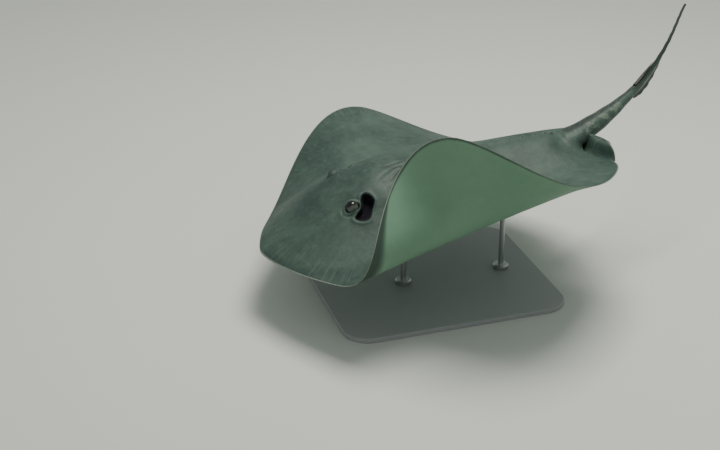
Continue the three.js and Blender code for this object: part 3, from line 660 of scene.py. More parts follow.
def fold():
    """The skin fold under the tail: a thin leaf whose depth is a skewed sine arch."""
    levels, sides = 70, 14
    t = np.linspace(0, 1, levels)[:, None]
    s = lerp(FOLD_FROM, FOLD_TO, t)
    centre, height, _, _ = (v[:, 0] for v in tail_at(s))
    _, left, up = (v[:, 0] for v in tail_direction(s))
    warp = t ** (np.log(0.5) / np.log(FOLD_PEAK))
    depth = 2 + FOLD_DEPTH * np.sin(np.pi * warp) ** 0.8
    depth = depth * smooth(t / 0.03 + 0.3) * smooth((1 - t) / 0.06 + 0.2)
    theta = np.arange(sides) / sides * 2 * np.pi
    down = lerp(-2.0, depth, (1 - np.sin(theta)) / 2)
    thick = lerp(1.7, 0.5, np.clip(down / 24, 0, 1))
    wave = 0.8 * np.sin(t * 34) * np.clip(down / 24, 0, 1)
    aside = thick * np.cos(theta) + wave
    points = centre[:, None] + left[:, None] * aside[..., None]
    points = points - up[:, None] * (height[:, None] + down)[..., None]
    share = np.clip(down / np.maximum(depth, 1), 0, 1)
    return flesh(
        points,
        back=1,
        rim=(1 - share) * 0.02,
        tail=0.66,
        ray=np.broadcast_to(s * 3, down.shape),
        reach=down * MM,
        pale=0.8 * smooth((0.3 - share) / 0.1) * smooth(t / 0.1),
    )


def rear_edge(x):
    """Final distance along of the disc's rear edge at x."""
    share = np.clip(np.abs(x) / DISC_HALF_WIDTH, 0, 1) ** REAR_POWER
    y = REAR_LENGTH * (1 - share) ** (1 / REAR_POWER)
    return y - notch_shift(x, y)


def pelvic(side):
    """A pelvic fin: rounded sections whose half width falls as the root of 1 - v^3.5."""
    v = np.sin(np.linspace(0.02, 1, 34) * np.pi / 2)[:-1, None]
    theta = np.arange(44) / 44 * 2 * np.pi
    u = np.cos(theta)
    along = lerp(PELVIC_ROOT_Y, PELVIC_TIP_Y, v) + 0 * u
    outer_half = PELVIC_HALF * np.sqrt(1 - v**3.5)
    inner_half = PELVIC_INNER * np.sqrt(1 - v**5)
    half = np.where(side * u > 0, outer_half, inner_half)
    x = side * lerp(PELVIC_ROOT_X, PELVIC_TIP_X, v) + u * half
    inner, outer = PELVIC_RISES[side]
    behind = along - rear_edge(x) - 1.8
    rise = lerp(inner, outer, (side * u + 1) / 2) * smooth(behind / PELVIC_RUN)
    clear = lerp(-3, 1.8, smooth((v - 0.2) / 0.4))
    top = belly(x, before_notch(x, along)) - clear + rise
    thick = (PELVIC_EDGE + PELVIC_THICK * (1 - u * u) * (1 - v * v)) * (1 - v**12)
    z = top - thick / 2 + thick / 2 * np.sign(np.sin(theta)) * np.abs(np.sin(theta)) ** 0.5
    x, y, z, along = np.broadcast_arrays(x, along, z, along)
    inward = np.minimum((1 - np.abs(u)) * half, (PELVIC_TIP_Y - along) * 0.8)
    return flesh(
        pose(x, y, z, along),
        back=smooth((np.sin(theta) + 0.25) / 0.5) + 0 * v,
        rim=inward * MM,
        band=0.008,
        ray=x * MM,
        reach=along * MM,
    )


def thorns():
    """Small flared cones leaning back, rings of ten sides, on the ridge of back and tail."""
    frames = [back_frame(0.0, y) for y in np.linspace(BACK_THORN_FROM, BACK_THORN_TO, BACK_THORNS)]
    at, _, run, normal = (np.stack(part) for part in zip(*frames))
    s = np.linspace(TAIL_THORN_FROM, TAIL_THORN_TO, TAIL_THORNS)
    centre, height, _, _ = tail_at(s)
    tail_run, _, up = tail_direction(s)
    at = np.concatenate([at + normal * 1.2, centre + up * height[:, None]])
    run, normal = np.concatenate([run, tail_run]), np.concatenate([normal, up])
    aside = unit(np.cross(run, normal))
    rise, radius = np.array(THORN_RISES)[:, None], np.array(THORN_RADII)[:, None]
    theta = np.arange(THORN_SIDES) / THORN_SIDES * 2 * np.pi
    level = np.clip(rise / THORN_HEIGHT, 0, 1)
    size = np.concatenate([np.linspace(0.5, 0.9, BACK_THORNS), np.linspace(0.95, 0.6, TAIL_THORNS)])
    ahead = (THORN_LEAN * level**1.5 + 1.5 * radius * np.cos(theta))[..., None]
    beside = (radius * 0.8 * np.sin(theta))[..., None]
    high = (rise + 0 * theta)[..., None]
    points = at[:, None, None] + size[:, None, None, None] * (
        run[:, None, None] * ahead + aside[:, None, None] * beside + normal[:, None, None] * high
    )
    share = np.concatenate([np.zeros(BACK_THORNS), s])[:, None, None]
    return flesh(points, back=1, rim=0.2, tail=share, thorn=0.6, pale=0.25 * level)


def unite(base, others):
    """Boolean union of closed meshes, made part of the first one's mesh."""
    for other in others:
        union = base.modifiers.new("union", "BOOLEAN")
        union.operation, union.solver, union.object = "UNION", "MANIFOLD", other
    evaluated = base.evaluated_get(bpy.context.evaluated_depsgraph_get())
    mesh = bpy.data.meshes.new_from_object(evaluated)
    base.modifiers.clear()
    base.data = mesh
    for other in others:
        bpy.data.meshes.remove(other.data)
    mesh.name = base.name
    missing = [name for name in FIELDS if name not in mesh.attributes]
    if missing or len(mesh.polygons) == 0:
        raise RuntimeError(f"the union lost {missing or 'its faces'}")
    drop_pockets(mesh)
    fill_new_points(mesh)
    mesh.shade_smooth()


def drop_pockets(mesh):
    """Deletes every shell but the one with the most points: a union can leave closed pockets
    inside. A shell's points all take the lowest index that reaches them along edges."""
    ends = read(mesh.edges, "vertices", np.int32, 2).reshape(-1, 2)
    label, before = np.arange(len(mesh.vertices)), None
    while not np.array_equal(label, before):
        before = label.copy()
        np.minimum.at(label, ends[:, 0], before[ends[:, 1]])
        np.minimum.at(label, ends[:, 1], before[ends[:, 0]])
        label = label[label]
    main = np.bincount(label).argmax()
    if (label == main).all():
        return
    shells = bmesh.new()
    shells.from_mesh(mesh)
    stray = [point for point, own in zip(shells.verts, label) if own != main]
    bmesh.ops.delete(shells, geom=stray, context="VERTS")
    shells.to_mesh(mesh)
    shells.free()


def soften_seam(mesh):
    """Rounds off the line where two shells meet: points near it move to their neighbours' mean,
    again and again, by a share that falls with the number of edges from the line."""
    ends = read(mesh.edges, "vertices", np.int32, 2).reshape(-1, 2)
    ends = np.concatenate([ends, ends[:, ::-1]])
    points = read(mesh.vertices, "co", np.float32, 3).reshape(-1, 3).astype(float)
    share = (read(mesh.attributes["known"].data, "value") < 0.999).astype(float)
    for _ in range(SEAM_RINGS):
        spread = share.copy()
        np.maximum.at(spread, ends[:, 0], share[ends[:, 1]] - 1 / SEAM_RINGS)
        share = np.clip(spread, 0, 1)
    share = smooth(share)[:, None] * 0.6
    count = np.maximum(np.bincount(ends[:, 0], minlength=len(points)), 1)
    for _ in range(SEAM_ROUNDS):
        mean = [np.bincount(ends[:, 0], points[ends[:, 1], k], len(points)) / count for k in range(3)]
        points += share * (np.stack(mean, 1) - points)
    mesh.vertices.foreach_set("co", points.astype(np.float32).ravel())
    for name in FIELDS:
        data = mesh.attributes[name].data
        values = read(data, "value").astype(float)
        for _ in range(SEAM_ROUNDS):
            mean = np.bincount(ends[:, 0], values[ends[:, 1]], len(points)) / count
            values += share[:, 0] * (mean - values)
        data.foreach_set("value", values.astype(np.float32))
    mesh.attributes["known"].data.foreach_set("value", np.ones(len(points), np.float32))
    mesh.update()


def read(data, name, kind=np.float32, width=1):
    """One value of every item of a mesh's list, as an array."""
    values = np.empty(len(data) * width, kind)
    data.foreach_get(name, values)
    return values


def fill_new_points(mesh):
    """Points where two shells cut each other have no fields of their own. Each takes the mean of
    its neighbours that have, which the field `known`, 1 on the shells, tells apart."""
    ends = read(mesh.edges, "vertices", np.int32, 2).reshape(-1, 2)
    ends = np.concatenate([ends, ends[:, ::-1]])
    known = read(mesh.attributes["known"].data, "value") > 0.999
    for _ in range(4):
        use = ends[known[ends[:, 1]] & ~known[ends[:, 0]]]
        count = np.bincount(use[:, 0], minlength=len(known))
        new = count > 0
        for name in FIELDS:
            data = mesh.attributes[name].data
            values = read(data, "value")
            total = np.bincount(use[:, 0], values[use[:, 1]], minlength=len(known))
            values[new] = total[new] / count[new]
            data.foreach_set("value", values)
        known |= new


# ---- Nodes ------------------------------------------------------------------------------------


class Graph:
    """Short calls that add nodes to a material or a node group and link them."""

    def __init__(self, tree):
        self.tree = tree

    def add(self, kind, feeds=None, out=0, **settings):
        node = self.tree.nodes.new(kind if kind.startswith("Node") else "ShaderNode" + kind)
        for name, value in settings.items():
            setattr(node, name, value)
        for key, value in (feeds or {}).items():
            self.feed(node.inputs[key], value)
        return node.outputs[out]

    def feed(self, socket, value):
        if isinstance(value, bpy.types.NodeSocket):
            self.tree.links.new(value, socket)
        else:
            socket.default_value = value

    def math(self, operation, *values):
        return self.add("Math", dict(enumerate(values)), operation=operation)

    def times(self, first, second):
        return self.math("MULTIPLY", first, second)

    def plus(self, first, second):
        return self.math("ADD", first, second)

    def minus(self, first, second):
        return self.math("SUBTRACT", first, second)

    def attribute(self, name):
        return self.add("Attribute", out="Fac", attribute_name=name)

    def position(self):
        return self.add("TexCoord", out="Object")

    def noise(self, vector, scale, detail=3.0, roughness=0.5, distortion=0.0):
        feeds = {"Vector": vector, "Scale": scale, "Detail": detail,
                 "Roughness": roughness, "Distortion": distortion}
        return self.add("TexNoise", feeds, out=0)

    def step(self, value, low, high):
        """0 below low and 1 above high, smooth between; low may be the larger."""
        feeds = {"Value": value, "From Min": low, "From Max": high}
        return self.add("MapRange", feeds, interpolation_type="SMOOTHSTEP")

    def blend(self, share, first, second, mode="MIX"):
        feeds = {0: share, 6: first, 7: second}
        return self.add("Mix", feeds, out=2, data_type="RGBA", blend_type=mode)

    def vector(self, x, y, z=0.0):
        return self.add("CombineXYZ", {0: x, 1: y, 2: z})

    def group(self, tree, out=0, **feeds):
        node = self.tree.nodes.new("ShaderNodeGroup")
        node.node_tree = tree
        for key, value in feeds.items():
            self.feed(node.inputs[key], value)
        return node.outputs[out]


def new_group(name, inputs, outputs):
    """An empty shader node group with float or vector sockets, and its graph and ends."""
    tree = bpy.data.node_groups.new(name, "ShaderNodeTree")
    kinds = {"F": "NodeSocketFloat", "V": "NodeSocketVector"}
    for socket, (kind, default) in inputs.items():
        made = tree.interface.new_socket(socket, in_out="INPUT", socket_type=kinds[kind])
        made.default_value = default
    for socket in outputs:
        tree.interface.new_socket(socket, in_out="OUTPUT", socket_type=kinds["F"])
    return tree, Graph(tree), tree.nodes.new("NodeGroupInput"), tree.nodes.new("NodeGroupOutput")


def mottle_group():
    """Blotches: a broad and a fine noise, mixed and sharpened about their middle."""
    inputs = {"Vector": ("V", (0, 0, 0)), "Scale": ("F", 20.0), "Contrast": ("F", 1.0)}
    tree, graph, start, end = new_group("skin_mottle", inputs, ["Fac"])
    vector, scale, contrast = start.outputs[:3]
    broad = graph.noise(vector, scale, 4.0, 0.55, 0.6)
    fine = graph.noise(vector, graph.times(scale, 6.1), 3.0, 0.6, 0.2)
    mixed = graph.plus(graph.times(broad, 0.68), graph.times(fine, 0.32))
    centred = graph.times(graph.minus(mixed, 0.5), contrast)
    value = graph.plus(centred, 0.5)
    graph.feed(end.inputs[0], graph.add("Clamp", {0: value}))
    return tree


def grain_group():
    """Fine grain for bumps: small cells and a finer noise."""
    inputs = {"Vector": ("V", (0, 0, 0)), "Scale": ("F", 900.0)}
    tree, graph, start, end = new_group("fine_grain", inputs, ["Height"])
    vector, scale = start.outputs[:2]
    cells = graph.add("TexVoronoi", {"Vector": vector, "Scale": scale}, out="Distance")
    noise = graph.noise(vector, graph.times(scale, 0.31), 3.0, 0.6)
    height = graph.plus(graph.times(cells, 0.5), noise)
    graph.feed(end.inputs[0], height)
    return tree


def shared(name, make):
    """A node group by name, made the first time that it is asked for."""
    return bpy.data.node_groups.get(name) or make()


def mottle(graph, vector, scale, contrast):
    tree = shared("skin_mottle", mottle_group)
    return graph.group(tree, Vector=vector, Scale=scale, Contrast=contrast)


def grain(graph, vector, scale):
    return graph.group(shared("fine_grain", grain_group), Vector=vector, Scale=scale)


def new_material(name, **constants):
    """A material with a Principled BSDF whose named sockets are set to constants."""
    material = bpy.data.materials.new(name)
    material.use_nodes = True
    shader = material.node_tree.nodes["Principled BSDF"]
    for socket, value in constants.items():
        shader.inputs[socket.replace("_", " ")].default_value = value
    return material, Graph(material.node_tree), shader


def feed_surface(g, shader, colour, roughness, height, strength=1.0):
    """Links a colour, a roughness and the height of a bump, in metres, to a material's shader."""
    g.feed(shader.inputs["Base Color"], colour)
    g.feed(shader.inputs["Roughness"], roughness)
    bump = g.add("Bump", {"Strength": strength, "Distance": 1.0, "Height": height}, out="Normal")
    g.feed(shader.inputs["Normal"], bump)


def rgba(colour):
    """A colour of three parts with its alpha."""
    return (*colour, 1.0)


def skin_material(colours):
    """Olive grey above and pale below, with mottling, fin rays, dark margins that are partly painted
    shade, thorn spots, a painted highlight along the fins' edge, painted shade in hollows and creases,
    and a belly darkened by painted shade.
    """
    material, g, shader = new_material(
        "stingray_skin", Specular_IOR_Level=0.32, Coat_Roughness=0.3
    )
    where = g.position()
    tint = {name: rgba(getattr(colours, name)) for name in SKIN_COLOURS}
    rim, above, tail_share = g.attribute("rim"), g.attribute("back"), g.attribute("tail")
    streaks = g.noise(g.vector(g.attribute("ray"), g.times(g.attribute("reach"), 0.05)),
                      150.0, 2.0, 0.6)
    blotch = mottle(g, where, 9.0, 2.6)
    speck = mottle(g, where, 70.0, 2.4)
    tone = g.blend(blotch, tint["back_dark"], tint["back"])
    tone = g.blend(g.times(g.step(speck, 0.6, 0.85), 0.16), tone, tint["back_light"])
    near_rim = g.times(g.step(rim, 0.12, 0.01), g.step(streaks, 0.5, 0.75))
    tone = g.blend(g.times(near_rim, 0.3), tone, tint["back_light"])
    tone = g.blend(g.times(g.step(rim, 0.022, 0.006), 0.35), tone, tint["back_dark"])
    # Tail: darker towards the whip, with light spots low on its sides and dark thorn spots.
    whip = g.step(tail_share, 0.44, 0.63)
    tone = g.blend(g.times(whip, 0.85), tone, tint["whip"])
    spots = g.times(g.step(mottle(g, where, 34.0, 3.0), 0.52, 0.75), g.step(tail_share, 0.02, 0.1))
    spots = g.times(spots, g.step(tail_share, 0.42, 0.3))
    tone = g.blend(g.times(spots, 0.32), tone, tint["tail_spot"])
    ridge = g.times(g.attribute("thorn"), g.step(tail_share, 0.01, 0.06))
    tone = g.blend(g.times(g.step(ridge, 0.3, 0.75), 0.8), tone, tint["whip"])
    tone = g.blend(g.attribute("pale"), tone, tint["rim"])
    # Underside: pale, faintly clouded, with a dark margin band: the fins' own dusky margin, widened
    # towards the snout as painted shade under the curled front of the fins.
    # The underside's colours hold painted shade: they are darker than its real white.
    cloud = mottle(g, where, 5.0, 1.6)
    under = g.blend(cloud, tint["belly_shade"], tint["belly"])
    ragged = g.plus(rim, g.times(g.minus(blotch, 0.5), 0.003))
    share = g.math("DIVIDE", ragged, g.plus(g.attribute("band"), 0.0001))
    under = g.blend(g.times(g.step(share, 1.15, 0.3), 0.9), under, tint["margin"])
    edge = g.plus(above, g.times(g.minus(speck, 0.5), 0.25))
    colour = g.blend(g.step(edge, 0.35, 0.6), under, tone)
    # Painted highlight: a pale line within about 3 mm of the fins' edge, where the edge catches light.
    colour = g.blend(g.times(g.step(rim, 0.0028, 0.001), 0.5), colour, tint["rim"])
    # Painted shade: eye slots, spiracles, mouth, nostrils, gill slits, vent and skin creases take the
    # dark cavity colour where shade falls; roughness rises there too.
    pit = g.attribute("pit")
    colour = g.blend(g.step(pit, 0.25, 0.8), colour, tint["cavity_shade"])
    dry = g.step(pit, 0.3, 0.9)
    rough = g.plus(g.plus(0.5, g.times(speck, 0.16)), g.times(dry, 0.4))
    g.feed(shader.inputs["Coat Weight"], g.times(g.minus(1.0, dry), 0.06))
    fine = g.times(grain(g, where, 620.0), 0.00016)
    lines = g.times(g.times(streaks, g.step(rim, 0.16, 0.01)), 0.0012)
    soft = g.times(g.noise(where, 60.0, 4.0, 0.6), 0.0011)
    on_back = g.times(g.plus(lines, soft), g.plus(0.25, g.times(above, 0.75)))
    feed_surface(g, shader, colour, rough, g.plus(fine, on_back), 0.9)
    return material


# ---- Settings ---------------------------------------------------------------------------------


def colour_setting(name, description, default):
    """A colour that a user can change."""
    return bpy.props.FloatVectorProperty(
        name=name, description=description, default=default, subtype="COLOR", size=3, min=0, max=1
    )


def length_setting(name, description, default):
    """A length in metres that a user can change."""
    return bpy.props.FloatProperty(
        name=name, description=description, default=default, unit="LENGTH", min=0, precision=4
    )


class StingraySkinSettings(bpy.types.PropertyGroup):
    """Colours and small sizes of the skin."""

    back: colour_setting("Back", "Main colour of the back", (0.068, 0.112, 0.086))
    back_dark: colour_setting("Dark back", "Blotches of the back", (0.020, 0.043, 0.037))
    back_light: colour_setting("Light back", "Specks and fin rays", (0.13, 0.19, 0.14))
    # The belly colours are far darker and greener than the real white underside: painted shade over the
    # whole underside.
    belly: colour_setting("Belly", "Main colour of the underside", (0.18, 0.32, 0.21))
    belly_shade: colour_setting("Belly shade", "Clouding of the underside", (0.12, 0.245, 0.165))
    # The margin colour is both the underside's dusky edge and painted shade along the fins' front.
    margin: colour_setting("Margin", "Dusky margin of the underside", (0.024, 0.040, 0.032))
    # The rim colour paints a highlight along the fins' edge, and also colours the thorn tips and a
    # strip of the tail fold.
    rim: colour_setting("Rim", "Pale line along the fins' edge", (0.42, 0.48, 0.39))
    whip: colour_setting("Whip", "End of the tail and its ridge", (0.016, 0.024, 0.022))
    tail_spot: colour_setting("Tail spots", "Light spots on the tail's sides", (0.24, 0.29, 0.21))
    # The cavity colour is painted shade for hollows and creases.
    cavity_shade: colour_setting("Cavity", "Inside of spiracles, mouth and gills", (0.010, 0.008, 0.014))
    lid_thickness: length_setting("Lid thickness", "Skin over the eyeball", 0.0013)
    slot_length: length_setting("Eye slot length", "Length of the opening between lids", 0.035)
    slot_height: length_setting("Eye slot height", "Height of the opening between lids", 0.025)


class StingrayEyeSettings(bpy.types.PropertyGroup):
    """Colours of the eyes."""

    iris: colour_setting("Iris", "Outer colour of the iris", (0.17, 0.19, 0.16))
    iris_deep: colour_setting("Deep iris", "Iris beside the pupil", (0.055, 0.06, 0.05))
    pupil: colour_setting("Pupil", "Colour of the pupil", (0.002, 0.002, 0.003))


class StingrayStandSettings(bpy.types.PropertyGroup):
    """Colours of the sting and the stand."""

    sting: colour_setting("Sting", "Horn of the sting", (0.030, 0.030, 0.021))
    plate: colour_setting("Plate", "Paint of the base plate", (0.34, 0.35, 0.35))
    rod: colour_setting("Rods", "Steel of the rods", (0.52, 0.53, 0.54))


class StingrayStageSettings(bpy.types.PropertyGroup):
    """Floor, light and camera."""

    floor: colour_setting("Floor", "Colour of the floor", (0.66, 0.67, 0.63))
    sky: colour_setting("Surround", "Colour of the soft light all round", (0.80, 0.86, 0.84))
    sky_strength: bpy.props.FloatProperty(
        name="Surround strength", description="Brightness of the soft light all round",
        default=0.5, min=0,
    )
    key_power: bpy.props.FloatProperty(
        name="Key power", description="Power of the large lamp overhead",
        default=112.0, min=0, unit="POWER",
    )
    camera_azimuth: bpy.props.FloatProperty(
        name="Camera azimuth", description="Direction of the camera round the animal",
        default=np.radians(68.7115), subtype="ANGLE",
    )
    camera_elevation: bpy.props.FloatProperty(
        name="Camera elevation", description="Height of the camera over the horizon",
        default=np.radians(25.167), subtype="ANGLE",
    )
    field_of_view: bpy.props.FloatProperty(
        name="Field of view", description="Width of the camera's view",
        default=np.radians(29.049), subtype="ANGLE",
    )
    camera_distance: length_setting("Camera distance", "From the body's middle", 3.3724)


# ---- Operators --------------------------------------------------------------------------------


class STINGRAY_OT_skin(bpy.types.Operator):
    """Build the skin: disc, tail, fold, pelvic fins and thorns as one mesh"""

    bl_idname = "stingray.skin"
    bl_label = "Build skin"

    def execute(self, context):
        settings = context.scene.stingray_skin
        skin = new_object("skin", disc(settings))
        unite(skin, [new_object("tail", tail())])
        soften_seam(skin.data)
        unite(skin, [new_object("left_fin_and_fold", joined([fold(), pelvic(1)])),
                     new_object("right_fin", pelvic(-1))])
        spines = new_object("thorns", thorns())
        with context.temp_override(active_object=skin, selected_editable_objects=[skin, spines]):
            bpy.ops.object.join()
        finish_piece(
            skin, skin_material(settings), "skin", "head", "trunk", "pectoral_left", "pectoral_right",
            "pelvic_left", "pelvic_right", "tail_base", "tail_middle", "tail_whip", "tail_fold",
        )
        return {"FINISHED"}


class STINGRAY_OT_eyes(bpy.types.Operator):
    """Build both eyeballs, with an iris and a crescent pupil"""

    bl_idname = "stingray.eyes"
    bl_label = "Build eyes"

    def execute(self, context):
        material = self.eye_material(context.scene.stingray_eyes)
        for side, name in ((1, "left"), (-1, "right")):
            at, out, along, normal = back_frame(side * EYE_X, EYE_Y)
            # A ball of latitude rings about the normal, with a slightly bulged cornea.
            polar = np.linspace(np.pi, 0, 42)[1:-1, None]
            theta = np.arange(64) / 64 * 2 * np.pi
            bulge = EYE_RADIUS + 0.5 * bell(polar / 0.55)
            a = bulge * np.sin(polar) * np.cos(theta)
            b = bulge * np.sin(polar) * np.sin(theta)
            w = bulge * np.cos(polar) - EYE_SINK + 0 * theta
            points = at + out * (side * a)[..., None] + along * b[..., None] + normal * w[..., None]
            if side < 0:
                points, a, b, w = (v[:, ::-1] for v in (points, a, b, w))
            ball = new_object(f"eye_{name}_ball", tube(points, out=a * MM, along=b * MM))
            finish_piece(ball, material, "eye", f"eye_{name}")
        return {"FINISHED"}

    @staticmethod
    def eye_material(colours):
        """Black crescent pupil in the upper half, and a streaked iris that lightens outwards."""
        material, g, shader = new_material(
            "stingray_eye", Roughness=0.2, Coat_Weight=0.3, Coat_Roughness=0.04,
            Specular_IOR_Level=0.3,
        )
        out, along = g.attribute("out"), g.attribute("along")
        bow = g.times(g.times(along, along), 22.0)
        u = g.math("DIVIDE", g.minus(g.plus(out, 0.0045), bow), 0.0062)
        v = g.math("DIVIDE", along, 0.0125)
        spread = g.math("SQRT", g.plus(g.times(u, u), g.times(v, v)))
        angle = g.math("ARCTAN2", out, along)
        rays = g.noise(g.vector(angle, g.times(spread, 0.25)), 9.0, 3.0, 0.6)
        iris = g.blend(g.step(spread, 1.0, 2.1), rgba(colours.iris_deep), rgba(colours.iris))
        iris = g.blend(g.times(rays, 0.5), iris, rgba(colours.iris_deep))
        colour = g.blend(g.step(spread, 1.06, 0.94), iris, rgba(colours.pupil))
        g.feed(shader.inputs["Base Color"], colour)
        return material


class STINGRAY_OT_sting(bpy.types.Operator):
    """Build the sting, a flat spine with barbs on both edges"""

    bl_idname = "stingray.sting"
    bl_label = "Build sting"

    def execute(self, context):
        t = np.linspace(0, 1, 261)[:-1, None]
        theta = np.arange(16) / 16 * 2 * np.pi
        s = STING_FROM + t[:, 0] * STING_LENGTH / TAIL_LENGTH
        centre, height, _, keel = (v[:, None] for v in tail_at(s))
        _, left, up = (v[:, None] for v in tail_direction(s))
        taper = (1 - t**1.6) * 0.94 + 0.06
        tooth = (t * STING_TEETH) % 1
        barb = 1 + 0.3 * tooth**2 * smooth((t - 0.12) / 0.1) * smooth((1 - t) / 0.05)
        half = STING_WIDTH / 2 * taper * barb
        thick = STING_THICK / 2 * taper
        flank = np.abs(np.cos(theta)) ** 1.4 * np.sign(np.cos(theta))
        groove = 0.35 * bell((theta - np.pi / 2) / 0.35) * taper
        rise = height + keel + 0.6 + thick + STING_LIFT * t**2
        high = rise + thick * np.sin(theta) - groove
        points = centre + left * (half * flank)[..., None] + up * high[..., None]
        sting = new_object("sting", tube(points, share=t + 0 * theta, edge=np.abs(flank) + 0 * t))
        finish_piece(sting, self.horn(context.scene.stingray_stand), "sting", "tail_sting")
        return {"FINISHED"}

    @staticmethod
    def horn(colours):
        """Streaked horn, paler at the barbs."""
        material, g, shader = new_material("sting_horn", Specular_IOR_Level=0.5)
        flat = g.vector(g.times(g.attribute("edge"), 0.02), g.attribute("share"))
        streak = mottle(g, flat, 12.0, 2.0)
        base = rgba(colours.sting)
        pale = rgba(tuple(min(1.0, 2.6 * part + 0.03) for part in colours.sting))
        dark = rgba(tuple(0.4 * part for part in colours.sting))
        colour = g.blend(streak, dark, base)
        colour = g.blend(g.times(g.step(g.attribute("edge"), 0.6, 1.0), 0.7), colour, pale)
        rough = g.plus(0.32, g.times(streak, 0.2))
        feed_surface(g, shader, colour, rough, g.times(grain(g, g.position(), 1500.0), 0.00008))
        return material


class STINGRAY_OT_stand(bpy.types.Operator):
    """Give the stand's plate and rods their finish"""

    bl_idname = "stingray.stand"
    bl_label = "Finish stand"

    def execute(self, context):
        colours = context.scene.stingray_stand
        for name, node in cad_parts.items():
            if name.startswith("stand_"):
                finish = self.steel(colours) if "rod" in name else self.paint(colours)
                node.data.materials.clear()
                node.data.materials.append(finish)
        return {"FINISHED"}

    @staticmethod
    def paint(colours):
        """Satin paint with a faint orange-peel bump and a little unevenness."""
        material, g, shader = new_material("stand_paint", Specular_IOR_Level=0.45)
        where = g.position()
        base = rgba(colours.plate)
        worn = rgba(tuple(0.93 * part for part in colours.plate))
        patch = mottle(g, where, 6.0, 1.5)
        rough = g.plus(0.42, g.times(patch, 0.1))
        height = g.times(g.noise(where, 420.0, 2.0), 0.00006)
        feed_surface(g, shader, g.blend(patch, worn, base), rough, height)
        return material

    @staticmethod
    def steel(colours):
        """Brushed steel: rings of fine scratches round the rod."""
        material, g, shader = new_material("stand_steel", Metallic=1.0)
        parts = g.add("SeparateXYZ", {0: g.position()}, out=2)
        rings = g.noise(g.vector(0.0, 0.0, parts), 2600.0, 2.0, 0.7)
        base = rgba(colours.rod)
        dull = rgba(tuple(0.8 * part for part in colours.rod))
        rough = g.plus(0.24, g.times(rings, 0.18))
        feed_surface(g, shader, g.blend(rings, dull, base), rough, g.times(rings, 0.00004))
        return material


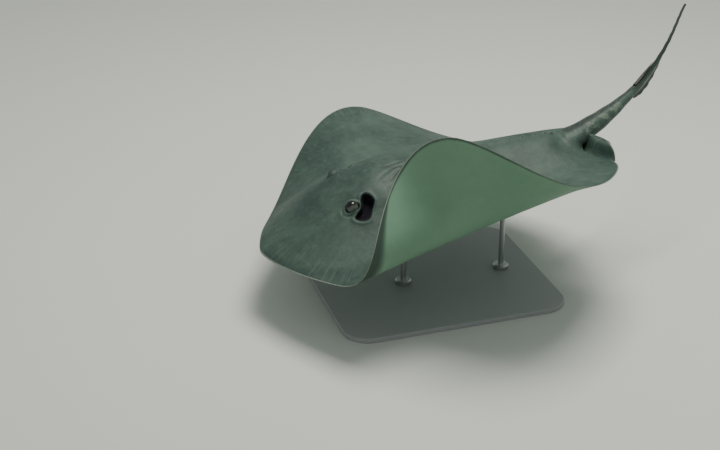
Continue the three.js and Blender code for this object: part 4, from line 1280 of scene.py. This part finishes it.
class STINGRAY_OT_stage(bpy.types.Operator):
    """Build the floor, the soft light, the lamp and the camera"""

    bl_idname = "stingray.stage"
    bl_label = "Build studio"

    def execute(self, context):
        settings = context.scene.stingray_stage
        self.floor(settings)
        world = bpy.data.worlds.new("soft_surround")
        world.use_nodes = True
        sky = world.node_tree.nodes["Background"]
        sky.inputs["Color"].default_value = rgba(settings.sky)
        sky.inputs["Strength"].default_value = settings.sky_strength
        context.scene.world = world
        self.lamp(settings.key_power)
        self.camera(settings)
        return {"FINISHED"}

    @staticmethod
    def floor(settings):
        """A round floor, wide enough to fill the view: rings of growing radius."""
        radius = np.array(FLOOR_RADII)[:, None]
        theta = np.arange(FLOOR_SIDES) / FLOOR_SIDES * 2 * np.pi
        points = np.stack([radius * np.cos(theta), radius * np.sin(theta), 0 * radius * theta], -1) / MM
        index = np.arange(radius.size * theta.size).reshape(radius.size, theta.size)
        index = np.concatenate([index, index[:, :1]], 1)
        floor = new_object("floor", (points.reshape(-1, 3), *grid_faces(index), {}))
        material, g, shader = new_material("studio_floor", Roughness=0.85)
        tone = g.noise(g.position(), 1.5, 3.0)
        light = rgba(settings.floor)
        shade = rgba(tuple(0.97 * part for part in settings.floor))
        g.feed(shader.inputs["Base Color"], g.blend(tone, shade, light))
        floor.data.materials.append(material)

    @staticmethod
    def lamp(power):
        """A square area lamp that faces the body."""
        light = bpy.data.lights.new("key", "AREA")
        light.size, light.energy, light.color = KEY_SIZE, power, KEY_COLOUR
        lamp = bpy.data.objects.new("key", light)
        lamp.location = KEY_PLACE
        aim = Vector(KEY_AIM) - lamp.location
        lamp.rotation_euler = aim.to_track_quat("-Z", "Y").to_euler()
        bpy.context.scene.collection.objects.link(lamp)

    @staticmethod
    def camera(settings):
        """Looks at the body's middle from the given angles, then turns so that the middle is
        seen AIM_RIGHT pixels right of the view's centre and AIM_ABOVE above it."""
        target = Vector(CAMERA_AIM)
        sin_a, cos_a = np.sin(settings.camera_azimuth), np.cos(settings.camera_azimuth)
        sin_e, cos_e = np.sin(settings.camera_elevation), np.cos(settings.camera_elevation)
        towards = Vector((sin_a * cos_e, -cos_a * cos_e, sin_e))
        focal = VIEW_WIDTH / 2 / np.tan(settings.field_of_view / 2)
        right, above = AIM_RIGHT / focal, AIM_ABOVE / focal
        yaw = np.arctan(right)
        tilt = np.arctan(above / np.sqrt(1 + right * right))
        ahead = -towards
        side = ahead.cross(Vector((0, 0, 1))).normalized()
        over = side.cross(ahead)
        tip = Matrix.Rotation(-tilt, 3, side)
        turn = Matrix.Rotation(yaw, 3, Vector((0, 0, 1)))
        side, over, ahead = turn @ side, turn @ tip @ over, turn @ tip @ ahead
        view = Matrix((side, over, -ahead)).transposed().to_4x4()
        view.translation = target + towards * settings.camera_distance
        lens = bpy.data.cameras.new("camera")
        lens.sensor_width = SENSOR_WIDTH
        lens.lens = SENSOR_WIDTH / 2 / np.tan(settings.field_of_view / 2)
        lens.clip_start, lens.clip_end = 0.05, 200
        camera = bpy.data.objects.new("camera", lens)
        camera.matrix_world = view
        bpy.context.scene.collection.objects.link(camera)
        bpy.context.scene.camera = camera


class STINGRAY_PT_panel(bpy.types.Panel):
    """Buttons and settings of the stingray model"""

    bl_idname = "STINGRAY_PT_panel"
    bl_label = "Southern stingray"
    bl_space_type = "VIEW_3D"
    bl_region_type = "UI"
    bl_category = "Stingray"

    def draw(self, context):
        rows = (
            (("stingray.skin",), "stingray_skin"),
            (("stingray.eyes",), "stingray_eyes"),
            (("stingray.sting", "stingray.stand"), "stingray_stand"),
            (("stingray.stage",), "stingray_stage"),
        )
        for operators, group in rows:
            box = self.layout.box()
            for operator in operators:
                box.operator(operator)
            settings = getattr(context.scene, group)
            for name in settings.__annotations__:
                box.prop(settings, name)


SETTINGS = {
    "stingray_skin": StingraySkinSettings,
    "stingray_eyes": StingrayEyeSettings,
    "stingray_stand": StingrayStandSettings,
    "stingray_stage": StingrayStageSettings,
}
CLASSES = (
    *SETTINGS.values(),
    STINGRAY_OT_skin,
    STINGRAY_OT_eyes,
    STINGRAY_OT_sting,
    STINGRAY_OT_stand,
    STINGRAY_OT_stage,
    STINGRAY_PT_panel,
)


def register():
    for cls in CLASSES:
        bpy.utils.register_class(cls)
    for name, group in SETTINGS.items():
        setattr(bpy.types.Scene, name, bpy.props.PointerProperty(type=group))


def unregister():
    for name in SETTINGS:
        delattr(bpy.types.Scene, name)
    for cls in reversed(CLASSES):
        bpy.utils.unregister_class(cls)


def main():
    """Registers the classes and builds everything."""
    register()
    bpy.ops.stingray.stage()
    bpy.ops.stingray.skin()
    bpy.ops.stingray.eyes()
    bpy.ops.stingray.sting()
    bpy.ops.stingray.stand()
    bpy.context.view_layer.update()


if __name__ == "__main__":
    main()
